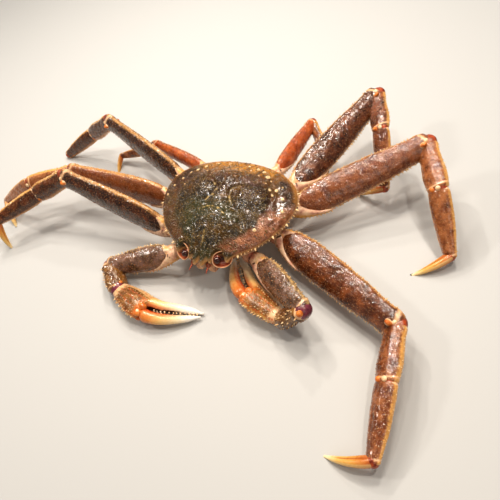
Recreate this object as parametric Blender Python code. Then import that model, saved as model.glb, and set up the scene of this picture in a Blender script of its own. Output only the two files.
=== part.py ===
# A male snow crab at rest, life-size, in one pose: legs spread and bent, claws folded in front.
# The crab faces -Y, its left side is +X and +Z is up. Lengths in the scene are metres.
# Sizes of the animal are given in carapace widths and turned into metres by CARAPACE_WIDTH.
import math
import random

import bpy
import bmesh
from mathutils import Matrix, Vector

# Driving sizes
CARAPACE_WIDTH = 0.145
NODE_GAP = 0.0003
LIMB_SIDES = 12
FINE_LIMB_SIDES = 10

# The body, in carapace widths: x to the crab's left, y to its back, z over the body's middle plane
BODY_HEIGHT = 0.302
BODY_PITCH = 4.5
BODY_TURN = -6.5
BODY_PLACE = (0.012, -0.014)
BODY_LENGTH = 0.905
DOME_HEIGHT = 0.150
MARGIN_DEPTH = 0.030

# The underbody: height, half width and half length of its levels, and the slope of its face
UNDERBODY_LEVELS = ((0.0, 0.400, 0.405), (-0.06, 0.395, 0.398), (-0.12, 0.34, 0.36),
                    (-0.155, 0.26, 0.30), (-0.165, 0.20, 0.26))
UNDERBODY_SIDES = 32
UNDERBODY_SHIFT = -0.01
FACE_PLACE = (0.0, -0.385, 0.0)
FACE_LEAN = 25.5

# The abdomen: place and half width of its stations, and its section
ABDOMEN_STATIONS = ((-0.16, 0.022), (-0.12, 0.040), (0.00, 0.058), (0.12, 0.082), (0.21, 0.085))
ABDOMEN_SECTION = ((-1, 0), (1, 0), (0.85, -0.018), (0, -0.026), (-0.85, -0.018))

# Eyes, antennae (length, half thickness) and the outline and depths of a mouth plate
EYE_PLACE = (0.121, -0.456, 0.028)
EYE_RADIUS = 0.030
EYE_SHAPE = (1.0, 0.92, 1.0)
ANTENNA_ROOT = (0.058, -0.505, -0.012)
ANTENNA_STATIONS = ((0.0, 0.0075), (0.024, 0.0060), (0.046, 0.0045), (0.066, 0.0028))
ANTENNA_WAY = (0.10, -0.86, 0.10)
ANTENNA_DROOP = 2.0
ANTENNA_SIDES = 6
MOUTH_PLATE = ((0.0, -0.012), (0.075, -0.016), (0.088, -0.06), (0.070, -0.125), (0.0, -0.145))
MOUTH_PLATE_MIDDLE = (0.044, -0.075)
MOUTH_PLATE_DEPTHS = ((0.0, 1.0), (-0.020, 1.0), (-0.030, 0.82))
MOUTH_PLATE_GAP = 0.003

# Half of the carapace's outline, from the notch between the horns round to the rear margin
CARAPACE_OUTLINE = (
    (0.000, -0.478), (0.027, -0.530), (0.052, -0.480), (0.077, -0.492), (0.090, -0.440),
    (0.118, -0.412), (0.152, -0.420), (0.186, -0.458), (0.216, -0.405), (0.300, -0.330),
    (0.375, -0.250), (0.440, -0.140), (0.482, -0.030), (0.500, 0.090), (0.476, 0.205),
    (0.412, 0.300), (0.310, 0.372), (0.190, 0.415), (0.090, 0.432), (0.000, 0.434),
)

# Limb pairs, front to back: 1 is the claw and 2 to 5 are the walking legs
# socket: middle of the face on the body's flank that the coxa meets
# hip: joint of the ischium and the merus, just outside the carapace margin
LIMB_ROOTS = {
    1: {"socket": (0.205, -0.265, 0.175), "hip": (0.338, -0.350, 0.175)},
    2: {"socket": (0.262, -0.105, 0.190), "hip": (0.450, -0.140, 0.200)},
    3: {"socket": (0.282, 0.060, 0.205), "hip": (0.492, 0.115, 0.225)},
    4: {"socket": (0.250, 0.190, 0.235), "hip": (0.440, 0.285, 0.262)},
    5: {"socket": (0.170, 0.262, 0.262), "hip": (0.290, 0.385, 0.288)},
}

# Lengths of merus, carpus, propodus or palm, and dactylus, in carapace widths
LIMB_LENGTHS = {
    1: (0.493, 0.214, 0.298, 0.409),
    2: (0.930, 0.330, 0.410, 0.275),
    3: (0.936, 0.355, 0.435, 0.270),
    4: (0.928, 0.338, 0.422, 0.290),
    5: (0.572, 0.254, 0.294, 0.220),
}

# Greatest half breadth and half thickness of each segment, in carapace widths
LIMB_BREADTHS = {
    1: ((0.088, 0.060), (0.076, 0.062), (0.100, 0.062), (0.046, 0.040)),
    2: ((0.108, 0.058), (0.078, 0.052), (0.070, 0.046), (0.036, 0.030)),
    3: ((0.108, 0.058), (0.076, 0.050), (0.068, 0.044), (0.036, 0.030)),
    4: ((0.100, 0.054), (0.070, 0.046), (0.062, 0.040), (0.034, 0.028)),
    5: ((0.058, 0.040), (0.044, 0.034), (0.040, 0.030), (0.024, 0.020)),
}

# The pose, in degrees: each segment's heading (0 straight out, 90 to the rear) and its rise,
# and the lean of its upper edge towards the rear
POSE = {
    ("left", 1): {"merus": (-43, 8), "carpus": (182, -46), "palm": (150, 1), "lean": (40, 60, 67)},
    ("left", 2): {"merus": (-34, -2), "carpus": (-92, 0), "propodus": (-93, -11),
                  "dactylus": (-178, -20), "lean": (55, 55, 55)},
    ("left", 3): {"merus": (31, 10), "carpus": (-74, -8), "propodus": (-71, -38),
                  "dactylus": (-151, -18), "lean": (55, 55, 55)},
    ("left", 4): {"merus": (60, 9), "carpus": (-78, -4), "propodus": (-79, -36),
                  "dactylus": (163, -33), "lean": (60, 60, 60)},
    ("left", 5): {"merus": (76, -3), "carpus": (-60, -14), "propodus": (-80, -32),
                  "dactylus": (-100, -12), "lean": (40, 40, 40)},
    ("right", 1): {"merus": (-13, -10), "carpus": (-128, -4), "palm": (-156, -1), "lean": (40, 60, 78)},
    ("right", 2): {"merus": (14, 14), "carpus": (-15, -22), "propodus": (-40, -10),
                   "dactylus": (-117, -68), "lean": (15, 15, 15)},
    ("right", 3): {"merus": (8, 5), "carpus": (-26, 1), "propodus": (-6, -29),
                   "dactylus": (-126, -28), "lean": (15, 15, 15)},
    ("right", 4): {"merus": (29, 10), "carpus": (10, -32), "propodus": (-9, -30),
                   "dactylus": (-9, -30), "lean": (10, 10, 10)},
    ("right", 5): {"merus": (25, -1), "carpus": (22, -35), "propodus": (-1, -14),
                   "dactylus": (-95, -31), "lean": (15, 15, 15)},
}
SIDES = {"left": 1, "right": -1}

# Outlines of the segments: place along the length, share of half breadth, share of half thickness
COXA_FORM = ((0.0, 1.0, 1.0), (0.5, 1.0, 1.0), (1.0, 0.92, 0.92))
MERUS_FORM = ((0.0, 0.54, 0.72), (0.10, 0.80, 0.88), (0.30, 1.0, 1.0), (0.62, 0.93, 0.95),
              (0.90, 0.76, 0.86), (1.0, 0.74, 0.84))
CARPUS_FORM = ((0.0, 0.94, 0.92), (0.20, 0.90, 0.94), (0.72, 1.0, 1.0), (1.0, 0.88, 0.92))
PROPODUS_FORM = ((0.0, 0.94, 0.96), (0.25, 1.0, 1.0), (0.65, 0.86, 0.86), (1.0, 0.60, 0.70))
DACTYLUS_FORM = ((0.0, 0.96, 1.0), (0.18, 1.0, 1.0), (0.50, 0.76, 0.78), (0.80, 0.46, 0.48),
                 (1.0, 0.24, 0.26))
COXA_HALF = (0.056, 0.050)
DACTYLUS_CURVE = 26.0
STUB_LENGTH = 0.030
STUB_HALF = 0.024

# The claw: palm and fixed finger in one, bent towards the merus, and the movable finger beside it
FINGER_BEND = 34.0
FINGER_BEND_SPAN = (0.18, 0.50)
FINGER_SPREAD = 0.050
PALM_FORM = ((0.00, 0.052, 0.046, 0.0), (0.08, 0.078, 0.054, 0.0), (0.19, 0.098, 0.060, 0.0),
             (0.285, 0.098, 0.056, 0.0))
FIXED_FINGER_FORM = ((0.300, 0.044, 0.046, -1.02), (0.40, 0.040, 0.040, -1.0),
                     (0.52, 0.033, 0.031, -0.90), (0.63, 0.022, 0.021, -0.64),
                     (0.705, 0.006, 0.008, -0.30))
MOVABLE_FINGER_FORM = ((0.304, 0.040, 0.044, 1.06), (0.35, 0.043, 0.041, 1.12),
                       (0.48, 0.035, 0.032, 1.04), (0.60, 0.023, 0.021, 0.76),
                       (0.690, 0.006, 0.008, 0.40))

# Spines: how far in from each end of a segment they start, their root radius and their length
SPINE_SIDES = 5
SPINE_MARGINS = (0.13, 0.12)
EDGE_SPINES = {"merus": 9, "carpus": 3}
SMALL_LEG_EDGE_SPINES = {"merus": 6, "carpus": 2}
CLAW_EDGE_SPINES = {"merus": 6, "carpus": 3}
LEG_SPINE = (0.0095, 0.019)
CLAW_SPINE = (0.0120, 0.026)
PALM_SPINES = 6
FINGER_TEETH = 4
FINGER_TOOTH = (0.0090, 0.0085)
MARGIN_SPINES = range(9, 16)
MARGIN_SPINE = (0.0120, 0.024)
TUBERCLE_TRIES = 160
TUBERCLE = (0.0120, 0.012)
TUBERCLE_SPACING = 0.080
SPINE_SEED = 7

# Colours (linear red, green, blue), roughness
MATERIALS = {
    "carapace_shell": ((0.055, 0.040, 0.014), 0.28),
    "leg_shell": ((0.120, 0.038, 0.018), 0.30),
    "claw_shell": ((0.100, 0.042, 0.020), 0.32),
    "finger_shell": ((0.560, 0.240, 0.090), 0.35),
    "pale_shell": ((0.560, 0.400, 0.250), 0.40),
    "eye": ((0.010, 0.006, 0.010), 0.08),
}


def clear_scene():
    for item in list(bpy.data.objects):
        bpy.data.objects.remove(item, do_unlink=True)


def make_materials():
    made = {}
    for name, (colour, roughness) in MATERIALS.items():
        material = bpy.data.materials.new(name)
        material.use_nodes = True
        shader = material.node_tree.nodes["Principled BSDF"]
        shader.inputs["Base Color"].default_value = (*colour, 1.0)
        shader.inputs["Roughness"].default_value = roughness
        shader.inputs["Metallic"].default_value = 0.0
        made[name] = material
    return made


def in_metres(x, y, z):
    return Vector((x, y, z)) * CARAPACE_WIDTH


def in_body(x, y, z):
    """A point of the body, whose length is a share of its width."""
    return in_metres(x, y * BODY_LENGTH, z)


def body_matrix():
    """The body's own frame: raised, pitched with the nose down and turned a little on its legs."""
    turn = Matrix.Rotation(math.radians(BODY_TURN), 4, "Z")
    pitch = Matrix.Rotation(math.radians(BODY_PITCH), 4, "X")
    return Matrix.Translation(in_metres(*BODY_PLACE, BODY_HEIGHT)) @ turn @ pitch


def loft(rings):
    """A closed body through rings of points that match one another, with flat ends."""
    shape = bmesh.new()
    last_edges = None
    for index, ring in enumerate(rings):
        at_end = index in (0, len(rings) - 1)
        made = bmesh.ops.create_circle(shape, cap_ends=at_end, segments=len(ring), radius=1.0)
        for vertex, place in zip(made["verts"], ring):
            vertex.co = place
        shape.edges.ensure_lookup_table()
        edges = list({edge for vertex in made["verts"] for edge in vertex.link_edges})
        if last_edges is not None:
            bmesh.ops.bridge_loops(shape, edges=last_edges + edges)
        last_edges = edges
    bmesh.ops.recalc_face_normals(shape, faces=shape.faces)
    return shape


def ellipse_ring(centre, wide, thin, half_wide, half_thin, sides):
    points = []
    for index in range(sides):
        angle = 2 * math.pi * (index + 0.5) / sides
        points.append(centre + wide * (math.cos(angle) * half_wide) + thin * (math.sin(angle) * half_thin))
    return points


def cut_away(shape, point, outward):
    """Removes what lies past a plane and closes the cut with a flat face."""
    geometry = list(shape.verts) + list(shape.edges) + list(shape.faces)
    cut = bmesh.ops.bisect_plane(
        shape, geom=geometry, dist=1e-7, plane_co=point, plane_no=outward, clear_outer=True)
    edges = [item for item in cut["geom_cut"] if isinstance(item, bmesh.types.BMEdge)]
    if edges:
        bmesh.ops.holes_fill(shape, edges=edges, sides=0)
    bmesh.ops.recalc_face_normals(shape, faces=shape.faces)


def add_object(name, shape, material, matrix=None):
    """Makes the node's object; the shape's points are in the object's own frame."""
    mesh = bpy.data.meshes.new(name)
    bmesh.ops.remove_doubles(shape, verts=shape.verts, dist=1e-6)
    keep_largest(shape)
    shape.to_mesh(mesh)
    shape.free()
    mesh.materials.append(material)
    mesh.shade_smooth()
    mesh.set_sharp_from_angle(angle=math.radians(40))
    item = bpy.data.objects.new(name, mesh)
    bpy.context.collection.objects.link(item)
    if matrix is not None:
        item.matrix_world = matrix
    return item


def spine(place, way, size):
    """A small closed cone with its root sunk below the surface that it grows from."""
    root, length = (value * CARAPACE_WIDTH for value in size)
    depth = length * 1.5
    turn = way.to_track_quat("Z", "Y").to_matrix().to_4x4()
    centre = place + way * (length - depth / 2)
    piece = bmesh.new()
    bmesh.ops.create_cone(piece, cap_ends=True, segments=SPINE_SIDES, radius1=root, radius2=root * 0.18,
                          depth=depth, matrix=Matrix.Translation(centre) @ turn)
    return piece


def bare_object(shape, collection):
    mesh = bpy.data.meshes.new("piece")
    shape.to_mesh(mesh)
    shape.free()
    item = bpy.data.objects.new("piece", mesh)
    collection.objects.link(item)
    return item


def fuse(shape, pieces):
    """Joins small closed pieces to a body with one Boolean union."""
    if not pieces:
        return shape
    group = bpy.data.collections.new("pieces")
    bpy.context.scene.collection.children.link(group)
    body = bare_object(shape, bpy.context.scene.collection)
    for piece in pieces:
        bare_object(piece, group)
    union = body.modifiers.new("union", "BOOLEAN")
    union.operation = "UNION"
    union.operand_type = "COLLECTION"
    union.collection = group
    union.solver = "MANIFOLD"
    joined = bmesh.new()
    joined.from_object(body, bpy.context.evaluated_depsgraph_get())
    for item in [body] + list(group.objects):
        bpy.data.objects.remove(item, do_unlink=True)
    bpy.data.collections.remove(group)
    return joined


def keep_largest(shape):
    """Drops every closed surface but the one with the most faces."""
    left = set(shape.faces)
    surfaces = []
    while left:
        surface = set()
        waiting = [left.pop()]
        while waiting:
            face = waiting.pop()
            surface.add(face)
            for edge in face.edges:
                for other in edge.link_faces:
                    if other in left:
                        left.remove(other)
                        waiting.append(other)
        surfaces.append(surface)
    largest = max(surfaces, key=len)
    scrap = [face for face in shape.faces if face not in largest]
    bmesh.ops.delete(shape, geom=scrap, context="FACES")


def smooth_step(value):
    value = min(max(value, 0.0), 1.0)
    return value * value * (3 - 2 * value)


def dome(share, x, y):
    """Height of the carapace over its margin, with the swellings that its regions make."""
    height = DOME_HEIGHT * (1 - share ** 2.6) ** 0.62
    gastric = 0.028 * math.exp(-((x / 0.13) ** 2 + ((y + 0.17) / 0.15) ** 2))
    heart = 0.020 * math.exp(-((x / 0.09) ** 2 + ((y - 0.20) / 0.09) ** 2))
    branchial = 0.020 * math.exp(-(((abs(x) - 0.28) / 0.12) ** 2 + ((y - 0.10) / 0.17) ** 2))
    groove = -0.022 * math.exp(-(((abs(x) - 0.115) / 0.035) ** 2 + ((y - 0.04) / 0.14) ** 2))
    fade = smooth_step((1 - share) / 0.35)
    return height + (gastric + heart + branchial + groove) * fade


def mirrored_outline():
    """The carapace's whole outline, once round from the notch between the horns."""
    left = list(CARAPACE_OUTLINE)
    right = [(-x, y) for x, y in reversed(left[1:-1])]
    return left + right


def outline_point(outline, index, share):
    """A point of the outline drawn in towards the middle, smoother the further in it is."""
    blend = smooth_step((1 - share) / 0.25)
    reach = 2 if share > 0.9 else 4
    around = [outline[(index + step) % len(outline)] for step in range(-reach, reach + 1)]
    mean = [sum(point[axis] for point in around) / len(around) for axis in (0, 1)]
    return [(edge * (1 - blend) + inner * blend) * share for edge, inner in zip(outline[index], mean)]


def carapace_height(share, x, y):
    return MARGIN_DEPTH * share ** 4 + dome(share, x, y)


def carapace_spines(outline):
    """Short spines round the margin and a scatter of tubercles over the back."""
    pieces = []
    count = len(outline)
    for index in MARGIN_SPINES:
        for turn in (index, count - index):
            before, here, after = (Vector((*outline[(turn + step) % count], 0)) for step in (-1, 0, 1))
            outward = (after - before).cross(Vector((0, 0, 1))).normalized()
            way = (outward * 0.9 + Vector((0, -0.45, 0.1))).normalized()
            place = in_body(here.x, here.y, MARGIN_DEPTH * 0.75)
            pieces.append(spine(place, way, MARGIN_SPINE))
    draw = random.Random(SPINE_SEED)
    placed = []
    for _ in range(TUBERCLE_TRIES):
        share = math.sqrt(draw.uniform(0.01, 0.72))
        x, y = outline_point(outline, draw.randrange(count), share)
        if any(math.hypot(x - px, y - py) < TUBERCLE_SPACING for px, py in placed):
            continue
        placed.append((x, y))
        way = Vector((x * share, y * share, 1.0)).normalized()
        height = carapace_height(share, x, y)
        pieces.append(spine(in_body(x, y, height - 0.004), way, TUBERCLE))
    return pieces


def make_carapace(materials):
    outline = mirrored_outline()
    rings = [[in_body(x * 0.985, y * 0.985, 0.0) for x, y in outline]]
    for share in (1.0, 0.93, 0.83, 0.70, 0.55, 0.39, 0.22, 0.08):
        ring = []
        for index in range(len(outline)):
            x, y = outline_point(outline, index, share)
            ring.append(in_body(x, y, carapace_height(share, x, y)))
        rings.append(ring)
    shape = fuse(loft(rings), carapace_spines(outline))
    return add_object("carapace", shape, materials["carapace_shell"], body_matrix())


def make_underbody(materials):
    """The sternum and flanks: a rounded body under the carapace with a flat face for each coxa."""
    rings = []
    gap = NODE_GAP / CARAPACE_WIDTH
    for height, half_width, half_length in UNDERBODY_LEVELS:
        ring = []
        for index in range(UNDERBODY_SIDES):
            angle = 2 * math.pi * (index + 0.5) / UNDERBODY_SIDES
            ring.append(in_body(half_width * math.cos(angle),
                                half_length * math.sin(angle) + UNDERBODY_SHIFT, height - gap))
        rings.append(ring)
    shape = loft(rings)
    to_body = body_matrix().inverted()
    for side in SIDES.values():
        for pair in LIMB_ROOTS:
            socket, hip = limb_root(side, pair)
            outward = (hip - socket).normalized()
            cut_away(shape, to_body @ socket, to_body.to_3x3() @ outward)
    lean = math.radians(FACE_LEAN)
    cut_away(shape, in_body(*FACE_PLACE), Vector((0, -math.cos(lean), -math.sin(lean))))
    return add_object("underbody", shape, materials["pale_shell"], body_matrix())


def make_abdomen(materials):
    """The male's narrow flap, folded flat under the sternum from the rear."""
    gap = NODE_GAP / CARAPACE_WIDTH
    top = UNDERBODY_LEVELS[-1][0] - 2 * gap
    rings = []
    for y, half_width in ABDOMEN_STATIONS:
        rings.append([in_body(x * half_width, y, top + z) for x, z in ABDOMEN_SECTION])
    return add_object("abdomen", loft(rings), materials["pale_shell"], body_matrix())


def make_face(materials):
    """Eyes in their orbits, short antennae and the outer mouth plates."""
    gap = NODE_GAP / CARAPACE_WIDTH
    for name, side in SIDES.items():
        eye = bmesh.new()
        bmesh.ops.create_uvsphere(eye, u_segments=14, v_segments=9, radius=EYE_RADIUS * CARAPACE_WIDTH)
        bmesh.ops.scale(eye, vec=EYE_SHAPE, verts=eye.verts)
        x, y, z = EYE_PLACE
        place = body_matrix() @ Matrix.Translation(in_body(x * side, y, z))
        add_object("eye_" + name, eye, materials["eye"], place)

        x, y, z = ANTENNA_ROOT
        start = in_body(x * side, y, z)
        rings = []
        for length, half in ANTENNA_STATIONS:
            centre = start + in_metres(ANTENNA_WAY[0] * length * side, ANTENNA_WAY[1] * length,
                                       ANTENNA_WAY[2] * length - ANTENNA_DROOP * length ** 2)
            thick = half * CARAPACE_WIDTH
            rings.append(ellipse_ring(centre, Vector((1, 0, 0)), Vector((0, 0, 1)), thick, thick,
                                      ANTENNA_SIDES))
        add_object("antenna_" + name, loft(rings), materials["finger_shell"], body_matrix())

        lean = Matrix.Rotation(math.radians(-FACE_LEAN), 4, "X")
        place = body_matrix() @ Matrix.Translation(in_body(*FACE_PLACE)) @ lean
        middle_x, middle_z = MOUTH_PLATE_MIDDLE
        rings = []
        for depth, grow in MOUTH_PLATE_DEPTHS:
            ring = []
            for x, z in MOUTH_PLATE:
                plate_x = middle_x + (x - middle_x) * grow + MOUTH_PLATE_GAP
                plate_z = middle_z + (z - middle_z) * grow
                ring.append(in_metres(plate_x * side, min(depth, -gap), plate_z))
            rings.append(ring)
        add_object("maxilliped_" + name, loft(rings), materials["pale_shell"], place)


def limb_root(side, pair):
    root = LIMB_ROOTS[pair]
    socket = in_metres(root["socket"][0] * side, *root["socket"][1:])
    hip = in_metres(root["hip"][0] * side, *root["hip"][1:])
    return socket, hip


def direction(side, heading, rise):
    heading = math.radians(heading)
    rise = math.radians(rise)
    return Vector((side * math.cos(heading) * math.cos(rise), math.sin(heading) * math.cos(rise),
                   math.sin(rise)))


def segment_matrix(start, along, lean, side):
    """A segment's frame: x along it, z across its broad face to the upper edge, y through it."""
    upper = (Vector((0, 0, 1)) - along * along.z).normalized()
    upper = Matrix.Rotation(-side * math.radians(lean), 3, along) @ upper
    through = upper.cross(along)
    turn = Matrix((along, through, upper)).transposed()
    return Matrix.Translation(start) @ turn.to_4x4()


def bent_path(distance, bend, span):
    """Point and tangent angle after a distance along a path that bends in its x-z plane."""
    steps = 24
    point = Vector((0, 0, 0))
    for index in range(steps):
        here = distance * (index + 0.5) / steps
        angle = -math.radians(bend) * smooth_step((here - span[0]) / (span[1] - span[0]))
        point += Vector((math.cos(angle), 0, math.sin(angle))) * (distance / steps)
    angle = -math.radians(bend) * smooth_step((distance - span[0]) / (span[1] - span[0]))
    return point, angle


def rounded_stations(form, length, half_wide, half_thin, round_ends=(True, True)):
    """Stations along a segment in metres, with round ends that reach past its joints."""
    stations = [(share * length, wide * half_wide, thin * half_thin) for share, wide, thin in form]
    first, last = stations[0], stations[-1]
    if round_ends[0]:
        for angle in (40, 75):
            reach = first[1] * math.sin(math.radians(angle))
            shrink = math.cos(math.radians(angle))
            stations.insert(0, (first[0] - reach, first[1] * shrink, first[2] * shrink))
    if round_ends[1]:
        for angle in (40, 75):
            reach = last[1] * math.sin(math.radians(angle))
            shrink = math.cos(math.radians(angle))
            stations.append((last[0] + reach, last[1] * shrink, last[2] * shrink))
    return stations


def straight_segment(stations, sides):
    wide = Vector((0, 0, 1))
    thin = Vector((0, 1, 0))
    rings = [ellipse_ring(Vector((at, 0, 0)), wide, thin, half_wide, half_thin, sides)
             for at, half_wide, half_thin in stations]
    return loft(rings)


def curved_segment(stations, bend, span, sides, chord=None):
    """A segment round a bent path; each station may sit off the path across the broad face."""
    rings = []
    tilt = 0.0
    if chord is not None:
        end, _ = bent_path(chord, bend, span)
        tilt = math.atan2(end.z, end.x)
    turn = Matrix.Rotation(tilt, 3, "Y")
    for at, half_wide, half_thin, offset in stations:
        point, angle = bent_path(at, bend, span)
        wide = Vector((-math.sin(angle), 0, math.cos(angle)))
        centre = turn @ (point + wide * offset)
        rings.append(ellipse_ring(centre, turn @ wide, Vector((0, 1, 0)), half_wide, half_thin, sides))
    return loft(rings)


def half_sizes(stations, at):
    """Half breadth and half thickness of a segment at a place between its stations."""
    for (start, *small), (end, *large) in zip(stations, stations[1:]):
        if start <= at <= end:
            share = (at - start) / (end - start)
            return [a + (b - a) * share for a, b in zip(small, large)]
    return list(stations[-1][1:])


def edge_spines(stations, length, count, size, draw):
    """Two rows of spines, along the upper and the lower edge of a segment."""
    pieces = []
    first, last = SPINE_MARGINS
    for edge in (1, -1):
        for index in range(count):
            share = first + (1 - first - last) * (index + draw.uniform(0.3, 0.7)) / count
            half_wide, half_thin = half_sizes(stations, share * length)
            aside = draw.uniform(-0.35, 0.35)
            place = Vector((share * length, aside * half_thin, edge * half_wide * math.sqrt(1 - aside ** 2)))
            way = Vector((0.40, aside * 0.9, edge)).normalized()
            pieces.append(spine(place, way, size))
    return pieces


def cut_in_world(shape, matrix, point, outward):
    to_local = matrix.inverted()
    cut_away(shape, to_local @ point, (to_local.to_3x3() @ outward).normalized())


def trim_joint(shape, matrix, joint, before, after, keeps_before):
    """Cuts a segment at the plane that halves the bend, leaving half of the gap."""
    normal = (before + after).normalized()
    sign = 1 if keeps_before else -1
    cut_in_world(shape, matrix, joint - normal * (sign * NODE_GAP / 2), normal * sign)


def trim_floor(shape, matrix):
    cut_in_world(shape, matrix, Vector((0, 0, 0)), Vector((0, 0, -1)))


def make_limb(side_name, pair, materials):
    side = SIDES[side_name]
    pose = POSE[(side_name, pair)]
    names = ("merus", "carpus", "palm") if pair == 1 else ("merus", "carpus", "propodus", "dactylus")
    title = "claw" if pair == 1 else "leg%d" % pair
    lengths = [value * CARAPACE_WIDTH for value in LIMB_LENGTHS[pair]]
    halves = [(a * CARAPACE_WIDTH, b * CARAPACE_WIDTH) for a, b in LIMB_BREADTHS[pair]]
    shell = materials["claw_shell"] if pair == 1 else materials["leg_shell"]

    socket, hip = limb_root(side, pair)
    ways = [(hip - socket).normalized()] + [direction(side, *pose[name]) for name in names]
    joints = [hip]
    for way, length in zip(ways[1:], lengths):
        joints.append(joints[-1] + way * length)

    # Coxa and ischium in one, from the body's flank to the merus
    slim = 0.72 if pair == 5 else 1.0
    reach = (hip - socket).length
    matrix = segment_matrix(socket, ways[0], pose["lean"][0], side)
    stations = rounded_stations(COXA_FORM, reach, COXA_HALF[0] * CARAPACE_WIDTH * slim,
                                COXA_HALF[1] * CARAPACE_WIDTH * slim, (False, True))
    shape = straight_segment([(-0.002, *stations[0][1:])] + stations, FINE_LIMB_SIDES)
    cut_in_world(shape, matrix, socket + ways[0] * NODE_GAP, -ways[0])
    trim_joint(shape, matrix, hip, ways[0], ways[1], True)
    add_object("%s_%s_coxa" % (side_name, title), shape, materials["pale_shell"], matrix)

    forms = {"merus": MERUS_FORM, "carpus": CARPUS_FORM, "propodus": PROPODUS_FORM}
    spine_counts = {1: CLAW_EDGE_SPINES, 5: SMALL_LEG_EDGE_SPINES}.get(pair, EDGE_SPINES)
    spine_size = CLAW_SPINE if pair == 1 else LEG_SPINE
    draw = random.Random(SPINE_SEED + pair * side)
    for index, name in enumerate(names[:3]):
        lean = pose["lean"][index]
        matrix = segment_matrix(joints[index], ways[index + 1], lean, side)
        if name == "palm":
            make_claw_end(side_name, matrix, joints[index], ways, materials)
            return
        stations = rounded_stations(forms[name], lengths[index], *halves[index])
        shape = straight_segment(stations, LIMB_SIDES)
        if name in spine_counts:
            shape = fuse(shape, edge_spines(stations, lengths[index], spine_counts[name], spine_size, draw))
        trim_joint(shape, matrix, joints[index], ways[index], ways[index + 1], False)
        after = ways[index + 2]
        trim_joint(shape, matrix, joints[index + 1], ways[index + 1], after, True)
        trim_floor(shape, matrix)
        add_object("%s_%s_%s" % (side_name, title, name), shape, shell, matrix)

    matrix = segment_matrix(joints[3], ways[4], pose["lean"][2], side)
    if (side_name, pair) == ("right", 4):
        half = STUB_HALF * CARAPACE_WIDTH
        length = STUB_LENGTH * CARAPACE_WIDTH
        stations = [(0.0, half, half), (length, half * 0.8, half * 0.8)]
        shape = straight_segment(stations, FINE_LIMB_SIDES)
    else:
        length = lengths[3]
        half_wide, half_thin = halves[3]
        stations = [(share * length, wide * half_wide, thin * half_thin, 0.0)
                    for share, wide, thin in DACTYLUS_FORM]
        first = stations[0]
        stations.insert(0, (-0.6 * first[1], 0.75 * first[1], 0.75 * first[2], 0.0))
        shape = curved_segment(stations, DACTYLUS_CURVE, (0.0, length), FINE_LIMB_SIDES, chord=length)
    trim_joint(shape, matrix, joints[3], ways[3], ways[4], False)
    trim_floor(shape, matrix)
    add_object("%s_%s_dactylus" % (side_name, title), shape, materials["finger_shell"], matrix)


def claw_pieces(stations, bend, span, edge, first, last, count, size):
    """A row of spines or teeth along one edge of a palm or finger that follows a bent path."""
    pieces = []
    places = [(at, wide, offset) for at, wide, _, offset in stations]
    for index in range(count):
        at = (first + (last - first) * (index + 0.5) / count) * CARAPACE_WIDTH
        for (start, *small), (end, *large) in zip(places, places[1:]):
            if start <= at <= end:
                share = (at - start) / (end - start)
                half, offset = [a + (b - a) * share for a, b in zip(small, large)]
        point, angle = bent_path(at, bend, span)
        wide = Vector((-math.sin(angle), 0, math.cos(angle)))
        forward = Vector((math.cos(angle), 0, math.sin(angle)))
        way = (wide * edge + forward * 0.3).normalized()
        pieces.append(spine(point + wide * (offset + edge * half * 0.97), way, size))
    return pieces


def claw_stations(form):
    return [(at * CARAPACE_WIDTH, wide * CARAPACE_WIDTH, thin * CARAPACE_WIDTH,
             spread * FINGER_SPREAD * CARAPACE_WIDTH) for at, wide, thin, spread in form]


def make_claw_end(side_name, matrix, wrist, ways, materials):
    span = (FINGER_BEND_SPAN[0] * CARAPACE_WIDTH, FINGER_BEND_SPAN[1] * CARAPACE_WIDTH)
    start = (-0.03, 0.030, 0.028, 0.0)
    stations = claw_stations((start,) + PALM_FORM + FIXED_FINGER_FORM)
    shape = curved_segment(stations, FINGER_BEND, span, LIMB_SIDES)
    pieces = claw_pieces(stations, FINGER_BEND, span, 1, 0.06, 0.28, PALM_SPINES, CLAW_SPINE)
    pieces += claw_pieces(stations, FINGER_BEND, span, -1, 0.06, 0.40, PALM_SPINES, CLAW_SPINE)
    pieces += claw_pieces(stations, FINGER_BEND, span, 1, 0.36, 0.62, FINGER_TEETH, FINGER_TOOTH)
    shape = fuse(shape, pieces)
    trim_joint(shape, matrix, wrist, ways[2], ways[3], False)
    trim_floor(shape, matrix)
    add_object(side_name + "_claw_palm", shape, materials["claw_shell"], matrix)

    stations = claw_stations(MOVABLE_FINGER_FORM)
    shape = curved_segment(stations, FINGER_BEND, span, FINE_LIMB_SIDES)
    shape = fuse(shape, claw_pieces(stations, FINGER_BEND, span, -1, 0.33, 0.60, FINGER_TEETH, FINGER_TOOTH))
    trim_floor(shape, matrix)
    add_object(side_name + "_claw_dactylus", shape, materials["finger_shell"], matrix)


def rest_on_origin():
    """Moves the crab sideways so that the middle of its footprint is the origin."""
    corners = [item.matrix_world @ vertex.co for item in bpy.data.objects for vertex in item.data.vertices]
    middle_x = (min(point.x for point in corners) + max(point.x for point in corners)) / 2
    middle_y = (min(point.y for point in corners) + max(point.y for point in corners)) / 2
    for item in bpy.data.objects:
        item.location.x -= middle_x
        item.location.y -= middle_y


def make_crab():
    clear_scene()
    materials = make_materials()
    make_carapace(materials)
    make_underbody(materials)
    make_abdomen(materials)
    make_face(materials)
    for side_name in SIDES:
        for pair in LIMB_ROOTS:
            make_limb(side_name, pair, materials)
    rest_on_origin()


make_crab()
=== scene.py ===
import math
import random

import bpy
import bmesh
from mathutils import Matrix, Vector, noise
from mathutils.bvhtree import BVHTree


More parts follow.
